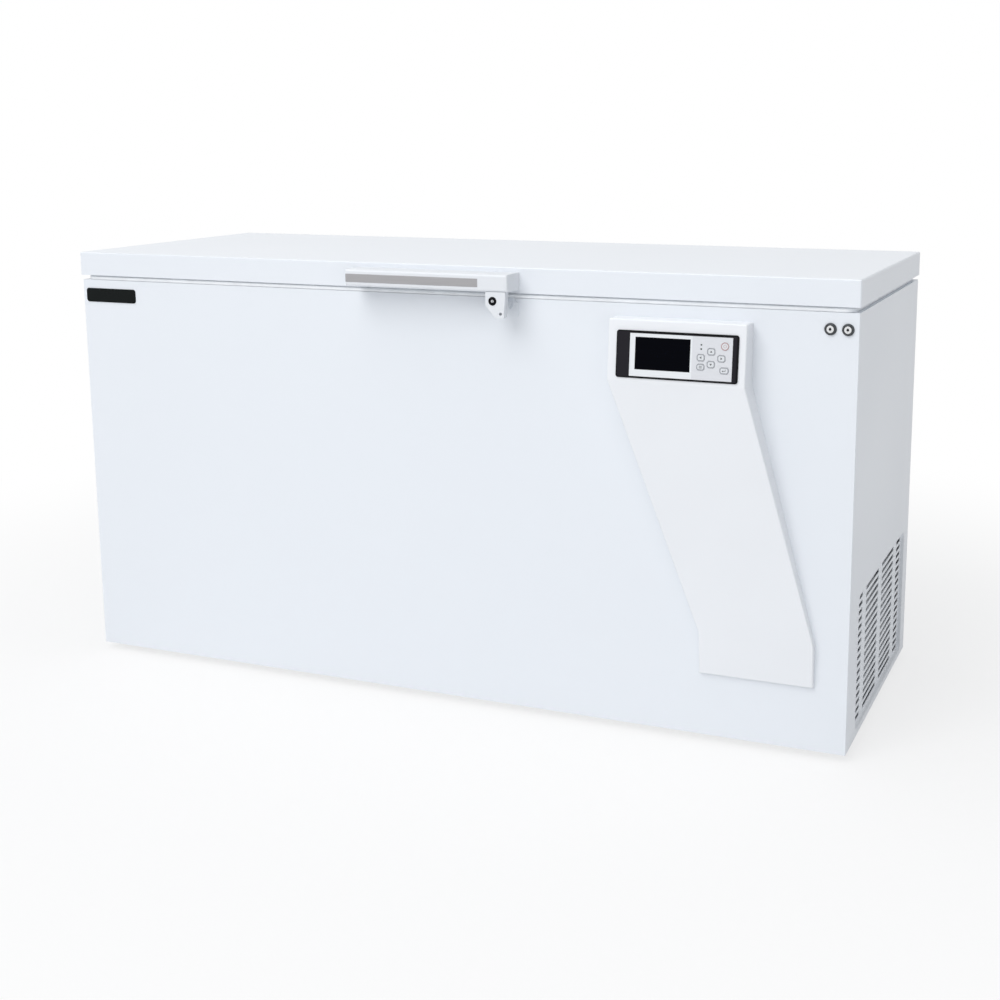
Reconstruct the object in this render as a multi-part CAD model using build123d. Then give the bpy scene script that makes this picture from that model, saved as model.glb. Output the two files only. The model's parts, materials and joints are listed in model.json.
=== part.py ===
from build123d import *
import math
import os

# Chest ultra low temperature freezer, in millimetres.
# X runs to the right seen from the front, Y to the back and Z up.
# The origin is on the floor, under the middle of the whole outline.

# Small and hidden round forms are made with this many flats
round_sides = 20

# How far a cutting body reaches past what it cuts
over = 1

# Cabinet
body_width = 1680
body_depth = 630
body_height = 821
sheet = 1.5
sheet_bend = 1.2
flange_width = 18
foot_height = 16
foot_radius = 22
foot_neck_radius = 9
foot_pad_height = 8
foot_inset = 72
foot_sides = 8
base_thickness = 2

# Lid
seam_gap = 10
lid_height = 49
lid_front_overhang = 4
lid_side_overhang = 2
lid_skin_bend = 2
lid_flange = 12
plug_depth = 30
plug_clearance = 12
gasket_inset = 10
gasket_width = 16
gasket_clearance = 0.3

# Storage chamber and insulation
wall_insulation = 105
front_insulation = 100
floor_insulation = 102
liner_thickness = 1.5
liner_rim = 25
chamber_radius = 25
collar_thickness = 3
collar_fit = 0.5

# Machine room, at the right-hand end under the stepped floor of the chamber
room_width = 370
room_height = 312

# Evaporator tube, flattened and bonded to the liner's long walls and one end
tube_depth = 8
tube_height = 6
tube_rows = 7
first_row_height = 60
last_row_drop = 105
row_inset = 60
link_width = 10

# Stamped grille in the right side
grille_start = 86
grille_end = 50
grille_bottom = 12
grille_height = 269
grille_radius = 16
grille_depth = 5
grille_bevel = 6
slot_lead = 17
slot_tail = 21
narrow_slot = 44
slot_post = 36
slot_height = 8
slot_pitch = 15
slot_rows = 17
slot_first_height = 28

# Control console on the front
console_left_inset = 453
console_right_inset = 191
console_top_drop = 24
console_crest_drop = 113
console_top_reach = 39
console_crest_reach = 50
console_foot_left_inset = 281
console_foot_right_inset = 62
console_knee = 207
console_bottom = 125
console_bottom_reach = 9
console_wall = 2.5
console_edge = 3
cable_hole = 24

# Display unit, placed along the console's face from its top edge
display_lead = 133
display_drop = 63.5
display_width = 231
display_height = 87
display_radius = 5
display_proud = 2
display_depth = 6
display_lip = 1.5
plate_shift = 7.3
plate_drop = 64.2
plate_width = 194.3
plate_height = 80.6
plate_thickness = 2
plate_set_back = 0.5
plate_ledge = 2
lcd_shift = -26.8
lcd_drop = 61.2
lcd_width = 103.8
lcd_height = 58.4
lcd_set_back = 0.5
board_thickness = 1.6
board_margin = 4
led_shift = 46
led_drops = (39.9, 47.4)
led_width = 2.8
led_proud = 0.2
part_fit = 0.1

# Keys: a cross of four, with three more round it
pad_shift = 65
pad_drop = 63
pad_spread = 19.2
pad_rise = 11.5
pad_corner = 25.1
menu_drop = 80
enter_drop = 84.4
power_drop = 40.8
key_width = 15
key_height = 13
low_key_height = 12
enter_width = 17
key_corner = 3
key_proud = 0.8
key_fit = 0.2
key_flange = 0.8
key_flange_thickness = 1.7
key_flange_gap = 0.3
key_travel = 0.8
switch_size = 6
switch_gap = 0.3

# Bare plate at the upper left of the front
badge_width = 127.5
badge_height = 29.5
badge_from_side = 8.5
badge_from_top = 18
badge_thickness = 1.5
badge_radius = 4

# Key switches at the upper right of the front
left_switch_inset = 51.3
right_switch_inset = 20
switch_drop = 30
collar_radius = 11
collar_proud = 4
switch_barrel_radius = 9
switch_barrel_sides = 8
switch_barrel_length = 24
core_radius = 6.5
core_fit = 0.1
core_proud = 0.6
core_length = 16
keyway_width = 1.6
keyway_length = 7
keyway_depth = 3
pocket_margin = 3

# Handle on the lid's front
handle_left = -155
handle_right = 192
handle_reach = 56
handle_drop = 9
handle_height = 33
handle_wall = 12
handle_top_wall = 7
handle_left_wall = 10
grip_right = 133
handle_edge = 5
strip_left = -153.5
strip_right = 130.5
strip_rise = 8
strip_height = 16
strip_thickness = 1.5
strip_recess = 1

# Lock under the handle's right end
lock_x = 161.7
lock_drop = 17.2
lock_left = 147
lock_thickness = 38
lock_toe_left = 169
lock_toe_drop = 50
lock_shoulder_drop = 26
lock_corner = 5
padlock_x = 177.8
padlock_drop = 41
padlock_radius = 3.1
barrel_radius = 5.9
barrel_proud = 0.8
bezel_radius = 8.2
bezel_proud = 1.2
lock_fit = 0.1
tail_width = 6
tail_fit = 0.1
cam_thickness = 2.5
cam_gap = 1.5
cam_hub = 8
cam_reach = 27
cam_hook = 4.5
cam_width = 8
cam_sweep = 45
stud_radius = 2.5
stud_from_axis = 17
stud_angle = -120
strike_thickness = 2.5
strike_width = 44
strike_height = 30
strike_corner = 3
strike_margin = 9
stud_proud = 0.4

# Hinges on the back
hinge_inset = 300
hinge_width = 96
knuckle_gap = 0.4
knuckle_radius = 7
pin_radius = 4
pin_fit = 0.1
leaf_thickness = 3
leaf_drop = 58
leaf_rise = 32
leaf_gap = 1
screw_radius = 4.5
screw_head = 2
leaf_screw_spread = 26
leaf_screw_margin = 14

# Rear service cover
cover_lead = 31.5
cover_tail = 18
cover_low = 34
cover_headroom = 25.5
cover_thickness = 1.5
cover_lap = 14
vent_width = 120
vent_height = 6
vent_pitch = 16
vent_rows = 9
vent_gap = 24
vent_low = 26

# Power inlet in the rear cover
inlet_lead = 60
inlet_drop = 28
inlet_flange_width = 44
inlet_flange_height = 32
inlet_flange = 3
inlet_corner = 3
inlet_width = 34
inlet_height = 22
inlet_depth = 26
socket_width = 26
socket_height = 14
socket_depth = 17
inlet_pin = 2.5
inlet_pin_length = 8
inlet_pin_pitch = 8

# Compressors
compressor_lead = 116.5
compressor_spread = 310
compressor_radius = 78
compressor_height = 156
compressor_cap_radius = 60
compressor_cap_height = 14
compressor_foot_width = 190
compressor_foot_depth = 150
compressor_foot = 3
compressor_foot_corner = 16
grommet_radius = 12
grommet_height = 12
grommet_inset = 16
terminal_width = 46
terminal_height = 60
terminal_depth = 26
stub_radius = 5
stub_height = 14
tube_sides = 6
stub_spread = 24

# Condenser, fan and their hood
condenser_gap = 8
condenser_thickness = 44
condenser_length = 430
condenser_headroom = 62
condenser_lift = 20
fin_count = 14
fin_thickness = 3
fin_groove = 15
bend_reach = 26
bend_height = 52
bend_tube = 10
bend_count = 3
hood_depth = 24
hood_sheet = 1.5
fan_hole_margin = 5
fan_gap = 2
fan_tip_gap = 4
fan_hub_radius = 26
fan_hub_length = 18
fan_blade_chord = 46
fan_blade_thickness = 2
fan_blade_pitch = 28
fan_blade_root = 4
fan_blades = 5
motor_radius = 36
motor_length = 48
motor_gap = 4
shaft_radius = 4
shaft_fit = 0.08
shaft_set_back = 2
arm_width = 14
arm_thickness = 3
arm_reach = 12
arm_root = 4

# Other parts of the refrigerant circuit
exchanger_width = 60
exchanger_depth = 84
exchanger_height = 170
exchanger_lead = 61.5
exchanger_corner = 10
drier_radius = 13
drier_length = 110
drier_neck = 12
drier_lift = 60
drier_gap = 12
drier_tail = 21
line_radius = 4
line_bend = 14
line_drop = 23.5
low_line_drop = 37.5
port_spread = 16
probe_radius = 3
probe_length = 70
probe_lead = 135
probe_drop = 130
clip_width = 10
clip_height = 8
clip_grip = 1

# Levels and edges that follow from the sizes above
front_reach = lid_front_overhang + handle_reach + bezel_proud
overall_depth = front_reach + body_depth + 2 * knuckle_radius
y_front = front_reach - overall_depth / 2
y_back = y_front + body_depth
half_width = body_width / 2
inner_half = half_width - sheet
z_bottom = foot_height
z_top = z_bottom + body_height
z_base = z_bottom + sheet
z_inside = z_base + base_thickness
z_lid = z_top + seam_gap
z_lid_top = z_lid + lid_height
lid_half = half_width + lid_side_overhang
y_lid = y_front - lid_front_overhang
z_collar = z_top - sheet - collar_thickness
chamber_left = wall_insulation - half_width
chamber_right = half_width - wall_insulation
chamber_front = y_front + front_insulation
chamber_back = y_back - front_insulation
chamber_floor = z_inside + floor_insulation
room_left = inner_half - room_width
room_top = z_inside + room_height
step_left = room_left - wall_insulation
shelf_floor = room_top + floor_insulation
y_room_front = y_front + sheet
y_room_back = y_back - sheet
row_pitch = (z_collar - last_row_drop - chamber_floor - first_row_height) / (tube_rows - 1)
grille_length = body_depth - grille_start - grille_end
slots_length = grille_length - slot_lead - slot_tail
wide_slot = (slots_length - 3 * slot_post) / 2 - narrow_slot
slot_columns = (narrow_slot, wide_slot, wide_slot, narrow_slot)
z_console = z_top - console_top_drop
z_crest = z_console - console_crest_drop
z_knee = z_bottom + console_knee
z_console_foot = z_bottom + console_bottom
console_left = half_width - console_left_inset
console_right = half_width - console_right_inset
console_foot_left = half_width - console_foot_left_inset
console_foot_right = half_width - console_foot_right_inset
console_tilt = math.degrees(
    math.atan2(console_crest_reach - console_top_reach, console_crest_drop)
)
display_x = console_left + display_lead
plate_x = display_x + plate_shift
lcd_x = display_x + lcd_shift
led_x = display_x + led_shift
switch_x = (half_width - left_switch_inset, half_width - right_switch_inset)
z_bar_top = z_lid_top - handle_drop
z_bar = z_bar_top - handle_height
z_strip = z_bar + strip_rise
z_lock = z_bar - lock_drop
hinge_places = (hinge_inset - half_width, half_width - hinge_inset)
cover_left = room_left + cover_lead
cover_right = half_width - cover_tail
z_cover = z_bottom + cover_low
z_cover_top = room_top - cover_headroom
inlet_x = cover_left + inlet_lead
inlet_z = z_cover_top - inlet_drop
compressor_x = room_left + compressor_lead
exchanger_x = room_left + exchanger_lead
probe_x = chamber_left + probe_lead
hinge_y = y_back + knuckle_radius
hinge_z = z_top + seam_gap / 2
y_handle = y_lid - handle_reach
y_lock_back = y_handle + lock_thickness
y_cam = y_lock_back + cam_gap
room_middle = (y_room_front + y_room_back) / 2
condenser_x = inner_half - grille_depth - condenser_gap - condenser_thickness
condenser_z = z_inside + condenser_lift
condenser_height = room_height - condenser_lift - condenser_headroom
fan_hole_radius = condenser_height / 2 - fan_hole_margin
fan_radius = fan_hole_radius - fan_tip_gap
fan_z = condenser_z + condenser_height / 2
hood_x = condenser_x - hood_depth
z_compressor = z_inside + grommet_height

# Keys: place across, place down the face, width and height
pad_x = display_x + pad_shift
key_places = {
    "key_up": (pad_x, pad_drop - pad_rise, key_width, key_height),
    "key_down": (pad_x, pad_drop + pad_rise, key_width, key_height),
    "key_left": (pad_x - pad_spread, pad_drop, key_width, key_height),
    "key_right": (pad_x + pad_spread, pad_drop, key_width, key_height),
    "key_menu": (pad_x - pad_spread, menu_drop, key_width, low_key_height),
    "key_enter": (pad_x + pad_corner, enter_drop, enter_width, low_key_height),
    "key_power": (pad_x + pad_corner, power_drop, key_width, key_width),
}


def block(x0, x1, y0, y1, z0, z1):
    """A box between two opposite corners."""
    box = Box(x1 - x0, y1 - y0, z1 - z0, align=(Align.MIN, Align.MIN, Align.MIN))
    return Pos(x0, y0, z0) * box


def rod_x(y, z, radius, x0, x1):
    """A round bar along X."""
    bar = Cylinder(radius, x1 - x0, align=(Align.CENTER, Align.CENTER, Align.MIN))
    return Pos(x0, y, z) * Rot(0, 90, 0) * bar


def rod_y(x, z, radius, y0, y1):
    """A round bar along Y."""
    bar = Cylinder(radius, y1 - y0, align=(Align.CENTER, Align.CENTER, Align.MIN))
    return Pos(x, y0, z) * Rot(-90, 0, 0) * bar


def sided_x(y, z, radius, x0, x1, hole=False):
    """A bar along X with many flats; the flats of a hole stay outside its radius."""
    plane = Plane(origin=(x0, y, z), x_dir=(0, 1, 0), z_dir=(1, 0, 0))
    outline = RegularPolygon(radius, round_sides, major_radius=not hole)
    return extrude(plane * outline, amount=x1 - x0)


def sided_y(x, z, radius, y0, y1, hole=False):
    """A bar along Y with many flats; the flats of a hole stay outside its radius."""
    plane = Plane(origin=(x, y1, z), x_dir=(1, 0, 0), z_dir=(0, -1, 0))
    outline = RegularPolygon(radius, round_sides, major_radius=not hole)
    return extrude(plane * outline, amount=y1 - y0)


def sided_z(x, y, radius, z0, z1):
    """A bar along Z with many flats."""
    return extrude(Pos(x, y, z0) * RegularPolygon(radius, round_sides), amount=z1 - z0)


def prism_x(outline, x0, x1):
    """A closed outline in Y and Z, drawn out along X."""
    plane = Plane(origin=(x0, 0, 0), x_dir=(0, 1, 0), z_dir=(1, 0, 0))
    face = make_face(Polyline(*outline, close=True))
    return extrude(plane * face, amount=x1 - x0)


def prism_y(outline, y0, y1, grow=0):
    """A closed outline in X and Z, drawn out along Y, grown or shrunk all round."""
    plane = Plane(origin=(0, y1, 0), x_dir=(1, 0, 0), z_dir=(0, -1, 0))
    face = make_face(Polyline(*outline, close=True))
    if grow:
        face = offset(face, amount=grow, kind=Kind.TANGENT)
    return extrude(plane * face, amount=y1 - y0)


def rounded_frame(half_x, y0, y1, z0, z1, radius):
    """A slab with rounded upright corners, centred on X."""
    outline = RectangleRounded(2 * half_x, y1 - y0, radius)
    return extrude(Pos(0, (y0 + y1) / 2, z0) * outline, amount=z1 - z0)


# Cabinet panels


def front_panel():
    """Front sheet with folded edges and the holes for the switches and the cable."""
    panel = block(-half_width, half_width, y_front, y_front + sheet, z_bottom, z_top)
    corners = panel.edges().filter_by(Axis.Z).group_by(Axis.Y)[0]
    panel = fillet(corners, sheet_bend)
    for z0 in (z_bottom, z_top - sheet):
        panel += block(
            -inner_half, inner_half, y_front + sheet, y_front + flange_width, z0, z0 + sheet
        )
    for x in switch_x:
        panel -= switch_barrel(x, part_fit, y_front - over, y_front + sheet + over)
    z = (z_console + z_crest - cable_hole) / 2
    x = display_x - cable_hole / 2
    return panel - block(x, x + cable_hole, y_front - over, y_front + sheet + over, z, z + cable_hole)


def switch_barrel(x, grow, y0, y1):
    """Barrel of a key switch, with flats against turning, or its hole in the sheet."""
    plane = Plane(origin=(x, y1, z_top - switch_drop), x_dir=(1, 0, 0), z_dir=(0, -1, 0))
    outline = RegularPolygon(switch_barrel_radius + grow, switch_barrel_sides)
    return extrude(plane * outline, amount=y1 - y0)


def plain_side(side):
    """A side sheet with folded edges; side is -1 for the left and 1 for the right."""
    x_out = side * half_width
    x_in = side * inner_half
    x_fold = side * (half_width - flange_width)
    left, right = sorted((x_out, x_in))
    panel = block(left, right, y_room_front, y_room_back, z_bottom, z_top)
    left, right = sorted((x_in, x_fold))
    y0 = y_front + flange_width
    y1 = y_back - flange_width
    for z0 in (z_bottom, z_top - sheet):
        panel += block(left, right, y0, y1, z0, z0 + sheet)
    return panel


def grille_plane():
    """Plane on the right side's outer face, in the middle of the grille, facing in."""
    y_middle = y_front + grille_start + grille_length / 2
    z_middle = z_bottom + grille_bottom + grille_height / 2
    return Plane(origin=(half_width, y_middle, z_middle), x_dir=(0, 1, 0), z_dir=(-1, 0, 0))


def right_side_panel():
    """Right sheet with a pressed-in pan whose floor is pierced by rows of slots."""
    slope = math.degrees(math.atan2(grille_bevel, grille_depth))
    wall = sheet / math.cos(math.radians(slope))
    hollow = RectangleRounded(grille_length, grille_height, grille_radius)
    outer = RectangleRounded(
        grille_length + 2 * wall, grille_height + 2 * wall, grille_radius + wall
    )
    plane = grille_plane()
    panel = plain_side(1)
    panel += extrude(plane * outer, amount=grille_depth + sheet, taper=slope)
    panel -= extrude(plane * hollow, amount=grille_depth, taper=slope)
    floor_x = half_width - grille_depth
    slots = []
    y0 = y_front + grille_start + slot_lead
    for width in slot_columns:
        for row in range(slot_rows):
            z = z_bottom + slot_first_height + row * slot_pitch
            plane = Plane(
                origin=(floor_x + over, y0 + width / 2, z), x_dir=(0, 1, 0), z_dir=(-1, 0, 0)
            )
            slots.append(extrude(plane * Rectangle(width, slot_height), amount=sheet + 2 * over))
        y0 += width + slot_post
    return panel - slots


def rear_panel():
    """Back sheet with folded edges and the opening behind the service cover."""
    panel = block(-half_width, half_width, y_room_back, y_back, z_bottom, z_top)
    corners = panel.edges().filter_by(Axis.Z).group_by(Axis.Y)[-1]
    panel = fillet(corners, sheet_bend)
    for z0 in (z_bottom, z_top - sheet):
        panel += block(
            -inner_half, inner_half, y_back - flange_width, y_room_back, z0, z0 + sheet
        )
    panel -= block(
        cover_left + cover_lap,
        cover_right - cover_lap,
        y_room_back - over,
        y_back + over,
        z_cover + cover_lap,
        z_cover_top - cover_lap,
    )
    return panel


def rear_cover():
    """Screwed service cover with air vents and the opening for the power inlet."""
    y1 = y_back + cover_thickness
    cover = block(cover_left, cover_right, y_back, y1, z_cover, z_cover_top)
    middle = (cover_left + cover_right) / 2
    for x in (middle - vent_gap / 2 - vent_width, middle + vent_gap / 2):
        for row in range(vent_rows):
            z = z_cover + vent_low + row * vent_pitch
            cover -= block(
                x,
                x + vent_width,
                y_back - over,
                y1 + over,
                z,
                z + vent_height,
            )
    cover -= block(
        inlet_x - inlet_width / 2,
        inlet_x + inlet_width / 2,
        y_back - over,
        y1 + over,
        inlet_z - inlet_height / 2,
        inlet_z + inlet_height / 2,
    )
    return cover


def base_pan():
    """Floor sheet lying on the folded lower edges of the panels."""
    return block(-inner_half, inner_half, y_room_front, y_room_back, z_base, z_inside)


def levelling_feet():
    """Low feet, set in from the edges so that the cabinet hides them."""
    feet = []
    reach = half_width - foot_inset
    pad = RegularPolygon(foot_radius, foot_sides)
    neck = RegularPolygon(foot_neck_radius, foot_sides)
    for x in (-reach, reach):
        for y in (y_front + foot_inset, y_back - foot_inset):
            foot = extrude(Pos(x, y, 0) * pad, amount=foot_pad_height)
            foot += extrude(Pos(x, y, foot_pad_height) * neck, amount=z_base - foot_pad_height)
            feet.append(foot)
    return feet


# Chamber and insulation


def chamber(grow, z_high):
    """The storage chamber, stepped over the machine room, grown outwards."""
    left = chamber_left - grow
    right = chamber_right + grow
    step = step_left + grow
    low = chamber_floor - grow
    shelf = shelf_floor - grow
    outline = [
        (left, z_high),
        (left, low),
        (step, low),
        (step, shelf),
        (right, shelf),
        (right, z_high),
    ]
    room = prism_y(outline, chamber_front - grow, chamber_back + grow)
    return fillet(room.edges().filter_by(Axis.Z), chamber_radius + grow)


def liner_rim_plate():
    """The liner's outward rim, before the chamber is cut from it."""
    return block(
        chamber_left - liner_rim,
        chamber_right + liner_rim,
        chamber_front - liner_rim,
        chamber_back + liner_rim,
        z_collar - liner_thickness,
        z_collar,
    )


def inner_liner():
    """Thin stepped tub with an outward rim under the collar."""
    tub = chamber(liner_thickness, z_collar) + liner_rim_plate()
    return tub - chamber(0, z_collar + over)


def top_collar():
    """Moulded frame that closes the insulation between the panels and the chamber."""
    ring = block(
        -inner_half, inner_half, y_room_front, y_room_back, z_collar, z_collar + collar_thickness
    )
    inset = flange_width + collar_fit
    ring += block(
        inset - half_width,
        half_width - inset,
        y_front + inset,
        y_back - inset,
        z_collar + collar_thickness,
        z_top,
    )
    return ring - chamber(0, z_top + over)


def tube_row_height(row):
    """Lower edge of one row of the evaporator tube."""
    return chamber_floor + first_row_height + row * row_pitch


def tube_row_end(row):
    """Right-hand end of one row: short beside the step, long above it."""
    clear = tube_row_height(row) > shelf_floor + liner_thickness
    return (chamber_right if clear else step_left) - row_inset


def serpentine(y0, y1):
    """Rows of flat tube on one long wall, linked at alternate ends."""
    left = chamber_left + row_inset
    panel = []
    for row in range(tube_rows):
        z = tube_row_height(row)
        panel.append(block(left, tube_row_end(row), y0, y1, z, z + tube_height))
        if row + 1 < tube_rows:
            x = left
            if row % 2 == 0:
                x = min(tube_row_end(row), tube_row_end(row + 1)) - link_width
            panel.append(block(x, x + link_width, y0, y1, z, z + row_pitch))
    path = panel[0]
    for piece in panel[1:]:
        path += piece
    return path


def evaporator_coil():
    """Two serpentines on the long walls, joined round the left end at the top."""
    near = liner_thickness
    far = near + tube_depth
    coil = serpentine(chamber_front - far, chamber_front - near)
    coil += serpentine(chamber_back + near, chamber_back + far)
    z = tube_row_height(tube_rows - 1)
    left = chamber_left + row_inset
    turn = chamber_slice(far, z, z + tube_height)
    turn -= chamber_slice(near, z - over, z + tube_height + over)
    turn &= block(chamber_left - far - over, left, chamber_front - far, chamber_back + far, z, z_top)
    return coil + turn


def chamber_slice(grow, z0, z1):
    """The chamber's upper outline between two levels, grown outwards."""
    outline = RectangleRounded(
        chamber_right - chamber_left + 2 * grow,
        chamber_back - chamber_front + 2 * grow,
        chamber_radius + grow,
    )
    middle = Pos((chamber_left + chamber_right) / 2, (chamber_front + chamber_back) / 2, z0)
    return extrude(middle * outline, amount=z1 - z0)


def switch_pocket():
    """The room in the insulation behind the key switches."""
    margin = collar_radius + pocket_margin
    z = z_top - switch_drop
    return block(
        switch_x[0] - margin,
        switch_x[-1] + margin,
        y_room_front,
        y_front + sheet + switch_barrel_length + pocket_margin,
        z - margin,
        z + margin,
    )


def machine_room():
    """The space under the step, closed by the base, the panels and the bulkhead."""
    return block(room_left, inner_half, y_room_front, y_room_back, z_inside, room_top)


def insulation():
    """Foam between the panels and the liner, with the coil and the room left out."""
    foam = block(-inner_half, inner_half, y_room_front, y_room_back, z_inside, z_collar)
    foam -= chamber(liner_thickness, z_collar + over)
    foam -= liner_rim_plate()
    foam -= machine_room()
    foam -= switch_pocket()
    return foam - evaporator_coil()


def temperature_probe():
    """Probe tube in two clips on the chamber's back wall."""
    z = z_top - probe_drop
    y = chamber_back - 2 * probe_radius
    tube = RegularPolygon(probe_radius, tube_sides)
    probe = extrude(Pos(probe_x, y, z - probe_length) * tube, amount=probe_length)
    x0 = probe_x - clip_width / 2
    for z0 in (z - probe_length + clip_height, z - 2 * clip_height):
        clip = block(x0, x0 + clip_width, y - clip_grip, chamber_back, z0, z0 + clip_height)
        probe += clip
    return probe


def machine_bulkhead():
    """Bent sheet that lines the insulation over and beside the machine room."""
    outline = [
        (room_left, z_inside),
        (room_left + sheet, z_inside),
        (room_left + sheet, room_top - sheet),
        (inner_half, room_top - sheet),
        (inner_half, room_top),
        (room_left, room_top),
    ]
    return prism_y(outline, y_room_front, y_room_back)


# Refrigeration


def compressor_y(which):
    """Middle of a compressor; which is -1 for the front one and 1 for the rear one."""
    return room_middle + which * compressor_spread / 2


def compressor(which):
    """Hermetic compressor: a welded shell on a foot plate, with its tube stubs."""
    y = compressor_y(which)
    z0 = z_compressor
    foot = Pos(compressor_x, y, z0) * Rectangle(compressor_foot_width, compressor_foot_depth)
    body = extrude(foot, amount=compressor_foot)
    body = chamfer(body.edges().filter_by(Axis.Z), compressor_foot_corner)
    z1 = z0 + compressor_foot
    z2 = z1 + compressor_height
    top = z2 + compressor_cap_height
    body += sided_z(compressor_x, y, compressor_radius, z1, z2)
    body += sided_z(compressor_x, y, compressor_cap_radius, z2, top)
    stub = RegularPolygon(stub_radius, tube_sides)
    for dx in (-stub_spread, stub_spread):
        body += extrude(Pos(compressor_x + dx, y, top) * stub, amount=stub_height)
    return body


def compressor_mounts():
    """Rubber grommets under the corners of both foot plates."""
    mounts = []
    dx = compressor_foot_width / 2 - grommet_inset
    dy = compressor_foot_depth / 2 - grommet_inset
    grommet = RegularPolygon(grommet_radius, foot_sides)
    for which in (-1, 1):
        y = compressor_y(which)
        for sx in (-1, 1):
            for sy in (-1, 1):
                place = Pos(compressor_x + sx * dx, y + sy * dy, z_inside)
                mounts.append(extrude(place * grommet, amount=grommet_height))
    return mounts


def terminal_covers():
    """Covers over the compressors' electric terminals, on the sides facing the fan."""
    covers = []
    z = z_compressor + compressor_foot + compressor_height / 2
    x0 = compressor_x + compressor_radius
    for which in (-1, 1):
        y = compressor_y(which)
        cover = block(
            x0 - terminal_depth / 2,
            x0 + terminal_depth / 2,
            y - terminal_width / 2,
            y + terminal_width / 2,
            z - terminal_height / 2,
            z + terminal_height / 2,
        )
        low = z - terminal_height
        high = z + terminal_height
        shell = sided_z(compressor_x, y, compressor_radius, low, high)
        covers.append(cover - shell)
    return covers


def condenser_core():
    """Finned block: a comb on both faces stands for the stacked fins."""
    y0 = room_middle - condenser_length / 2
    x0 = condenser_x
    x1 = condenser_x + condenser_thickness
    pitch = (condenser_length - fin_thickness) / (fin_count - 1)
    front = []
    back = []
    for i in range(fin_count):
        y = y0 + i * pitch
        front += [(x0, y), (x0, y + fin_thickness)]
        back += [(x1, y), (x1, y + fin_thickness)]
        if i < fin_count - 1:
            front += [(x0 + fin_groove, y + fin_thickness), (x0 + fin_groove, y + pitch)]
            back += [(x1 - fin_groove, y + fin_thickness), (x1 - fin_groove, y + pitch)]
    outline = front + back[::-1]
    face = make_face(Polyline(*outline, close=True))
    return extrude(Pos(0, 0, condenser_z) * face, amount=condenser_height)


def condenser_bends():
    """Hairpin bends of the condenser's tube at both ends of the finned block."""
    bends = []
    x0 = condenser_x + (condenser_thickness - bend_tube) / 2
    pitch = condenser_height / bend_count
    cut_off = bend_reach / 2
    for side in (-1, 1):
        y0 = room_middle + side * condenser_length / 2
        for i in range(bend_count):
            z = condenser_z + pitch * (i + 0.5)
            rims = []
            for inset in (0, bend_tube):
                half = bend_height / 2 - inset
                y1 = y0 + side * (bend_reach - inset)
                corner = cut_off - inset * (2 - math.sqrt(2))
                rims.append(
                    [
                        (y0, z - half),
                        (y1 - side * corner, z - half),
                        (y1, z - half + corner),
                        (y1, z + half - corner),
                        (y1 - side * corner, z + half),
                        (y0, z + half),
                    ]
                )
            bends.append(prism_x(rims[0] + rims[1][::-1], x0, x0 + bend_tube))
    return bends


def fan_hood():
    """Sheet hood behind the condenser, with the fan's hole and two legs."""
    y0 = room_middle - condenser_length / 2
    y1 = room_middle + condenser_length / 2
    z0 = condenser_z
    z1 = condenser_z + condenser_height
    hood = block(hood_x, condenser_x, y0, y1, z0, z1)
    hood -= block(
        hood_x + hood_sheet,
        condenser_x + over,
        y0 + hood_sheet,
        y1 - hood_sheet,
        z0 + hood_sheet,
        z1 - hood_sheet,
    )
    x1 = hood_x + hood_sheet + over
    hood -= sided_x(room_middle, fan_z, fan_hole_radius, hood_x - over, x1, hole=True)
    legs = block(hood_x, hood_x + hood_sheet, y0, y0 + flange_width, z_inside, z0)
    legs += block(hood_x, hood_x + hood_sheet, y1 - flange_width, y1, z_inside, z0)
    return hood + legs


def fan_x():
    """Inner end of the fan's hub, on the motor's side."""
    return hood_x - fan_gap - fan_hub_length


def fan_motor():
    """Motor with its shaft, held by an arm across the hood's hole."""
    x1 = fan_x() - motor_gap
    shaft_end = fan_x() + fan_hub_length - shaft_set_back
    motor = sided_x(room_middle, fan_z, motor_radius, x1 - motor_length, x1)
    motor += rod_x(room_middle, fan_z, shaft_radius, x1, shaft_end)
    reach = fan_hole_radius + arm_reach
    for side in (-1, 1):
        inner = room_middle + side * (motor_radius - arm_root)
        outer = room_middle + side * reach
        y0, y1 = sorted((inner, outer))
        z0 = fan_z - arm_width / 2
        z1 = fan_z + arm_width / 2
        motor += block(x1 - arm_thickness, x1, y0, y1, z0, z1)
        y0, y1 = sorted((outer, outer - side * arm_thickness))
        motor += block(x1, hood_x, y0, y1, z0, z1)
    return motor


def fan_blade():
    """Hub with pitched blades, running on the motor's shaft."""
    x0 = fan_x()
    x1 = x0 + fan_hub_length
    rotor = sided_x(room_middle, fan_z, fan_hub_radius, x0, x1)
    pitch = math.radians(fan_blade_pitch)
    half_chord = fan_blade_chord / 2 * math.cos(pitch)
    tip = math.sqrt(fan_radius**2 - half_chord**2)
    root = fan_hub_radius - fan_blade_root
    blade = Box(fan_blade_thickness, fan_blade_chord, tip - root)
    blade = Pos(0, 0, (root + tip) / 2) * Rot(0, 0, fan_blade_pitch) * blade
    for i in range(fan_blades):
        turn = Rot(360 / fan_blades * i, 0, 0)
        rotor += Pos((x0 + x1) / 2, room_middle, fan_z) * turn * blade
    bore = shaft_radius + shaft_fit
    return rotor - rod_x(room_middle, fan_z, bore, x0 - over, x1 + over)


def cascade_heat_exchanger():
    """Lagged plate exchanger in which the high stage cools the low stage."""
    half_x = exchanger_width / 2
    half_y = exchanger_depth / 2
    vessel = block(
        exchanger_x - half_x,
        exchanger_x + half_x,
        room_middle - half_y,
        room_middle + half_y,
        z_inside,
        z_inside + exchanger_height,
    )
    return chamfer(vessel.edges().filter_by(Axis.Z), exchanger_corner)


def drier_y():
    """Middle of the filter drier, in front of the bulkhead."""
    return room_middle + exchanger_depth / 2 + drier_radius + drier_gap


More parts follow.
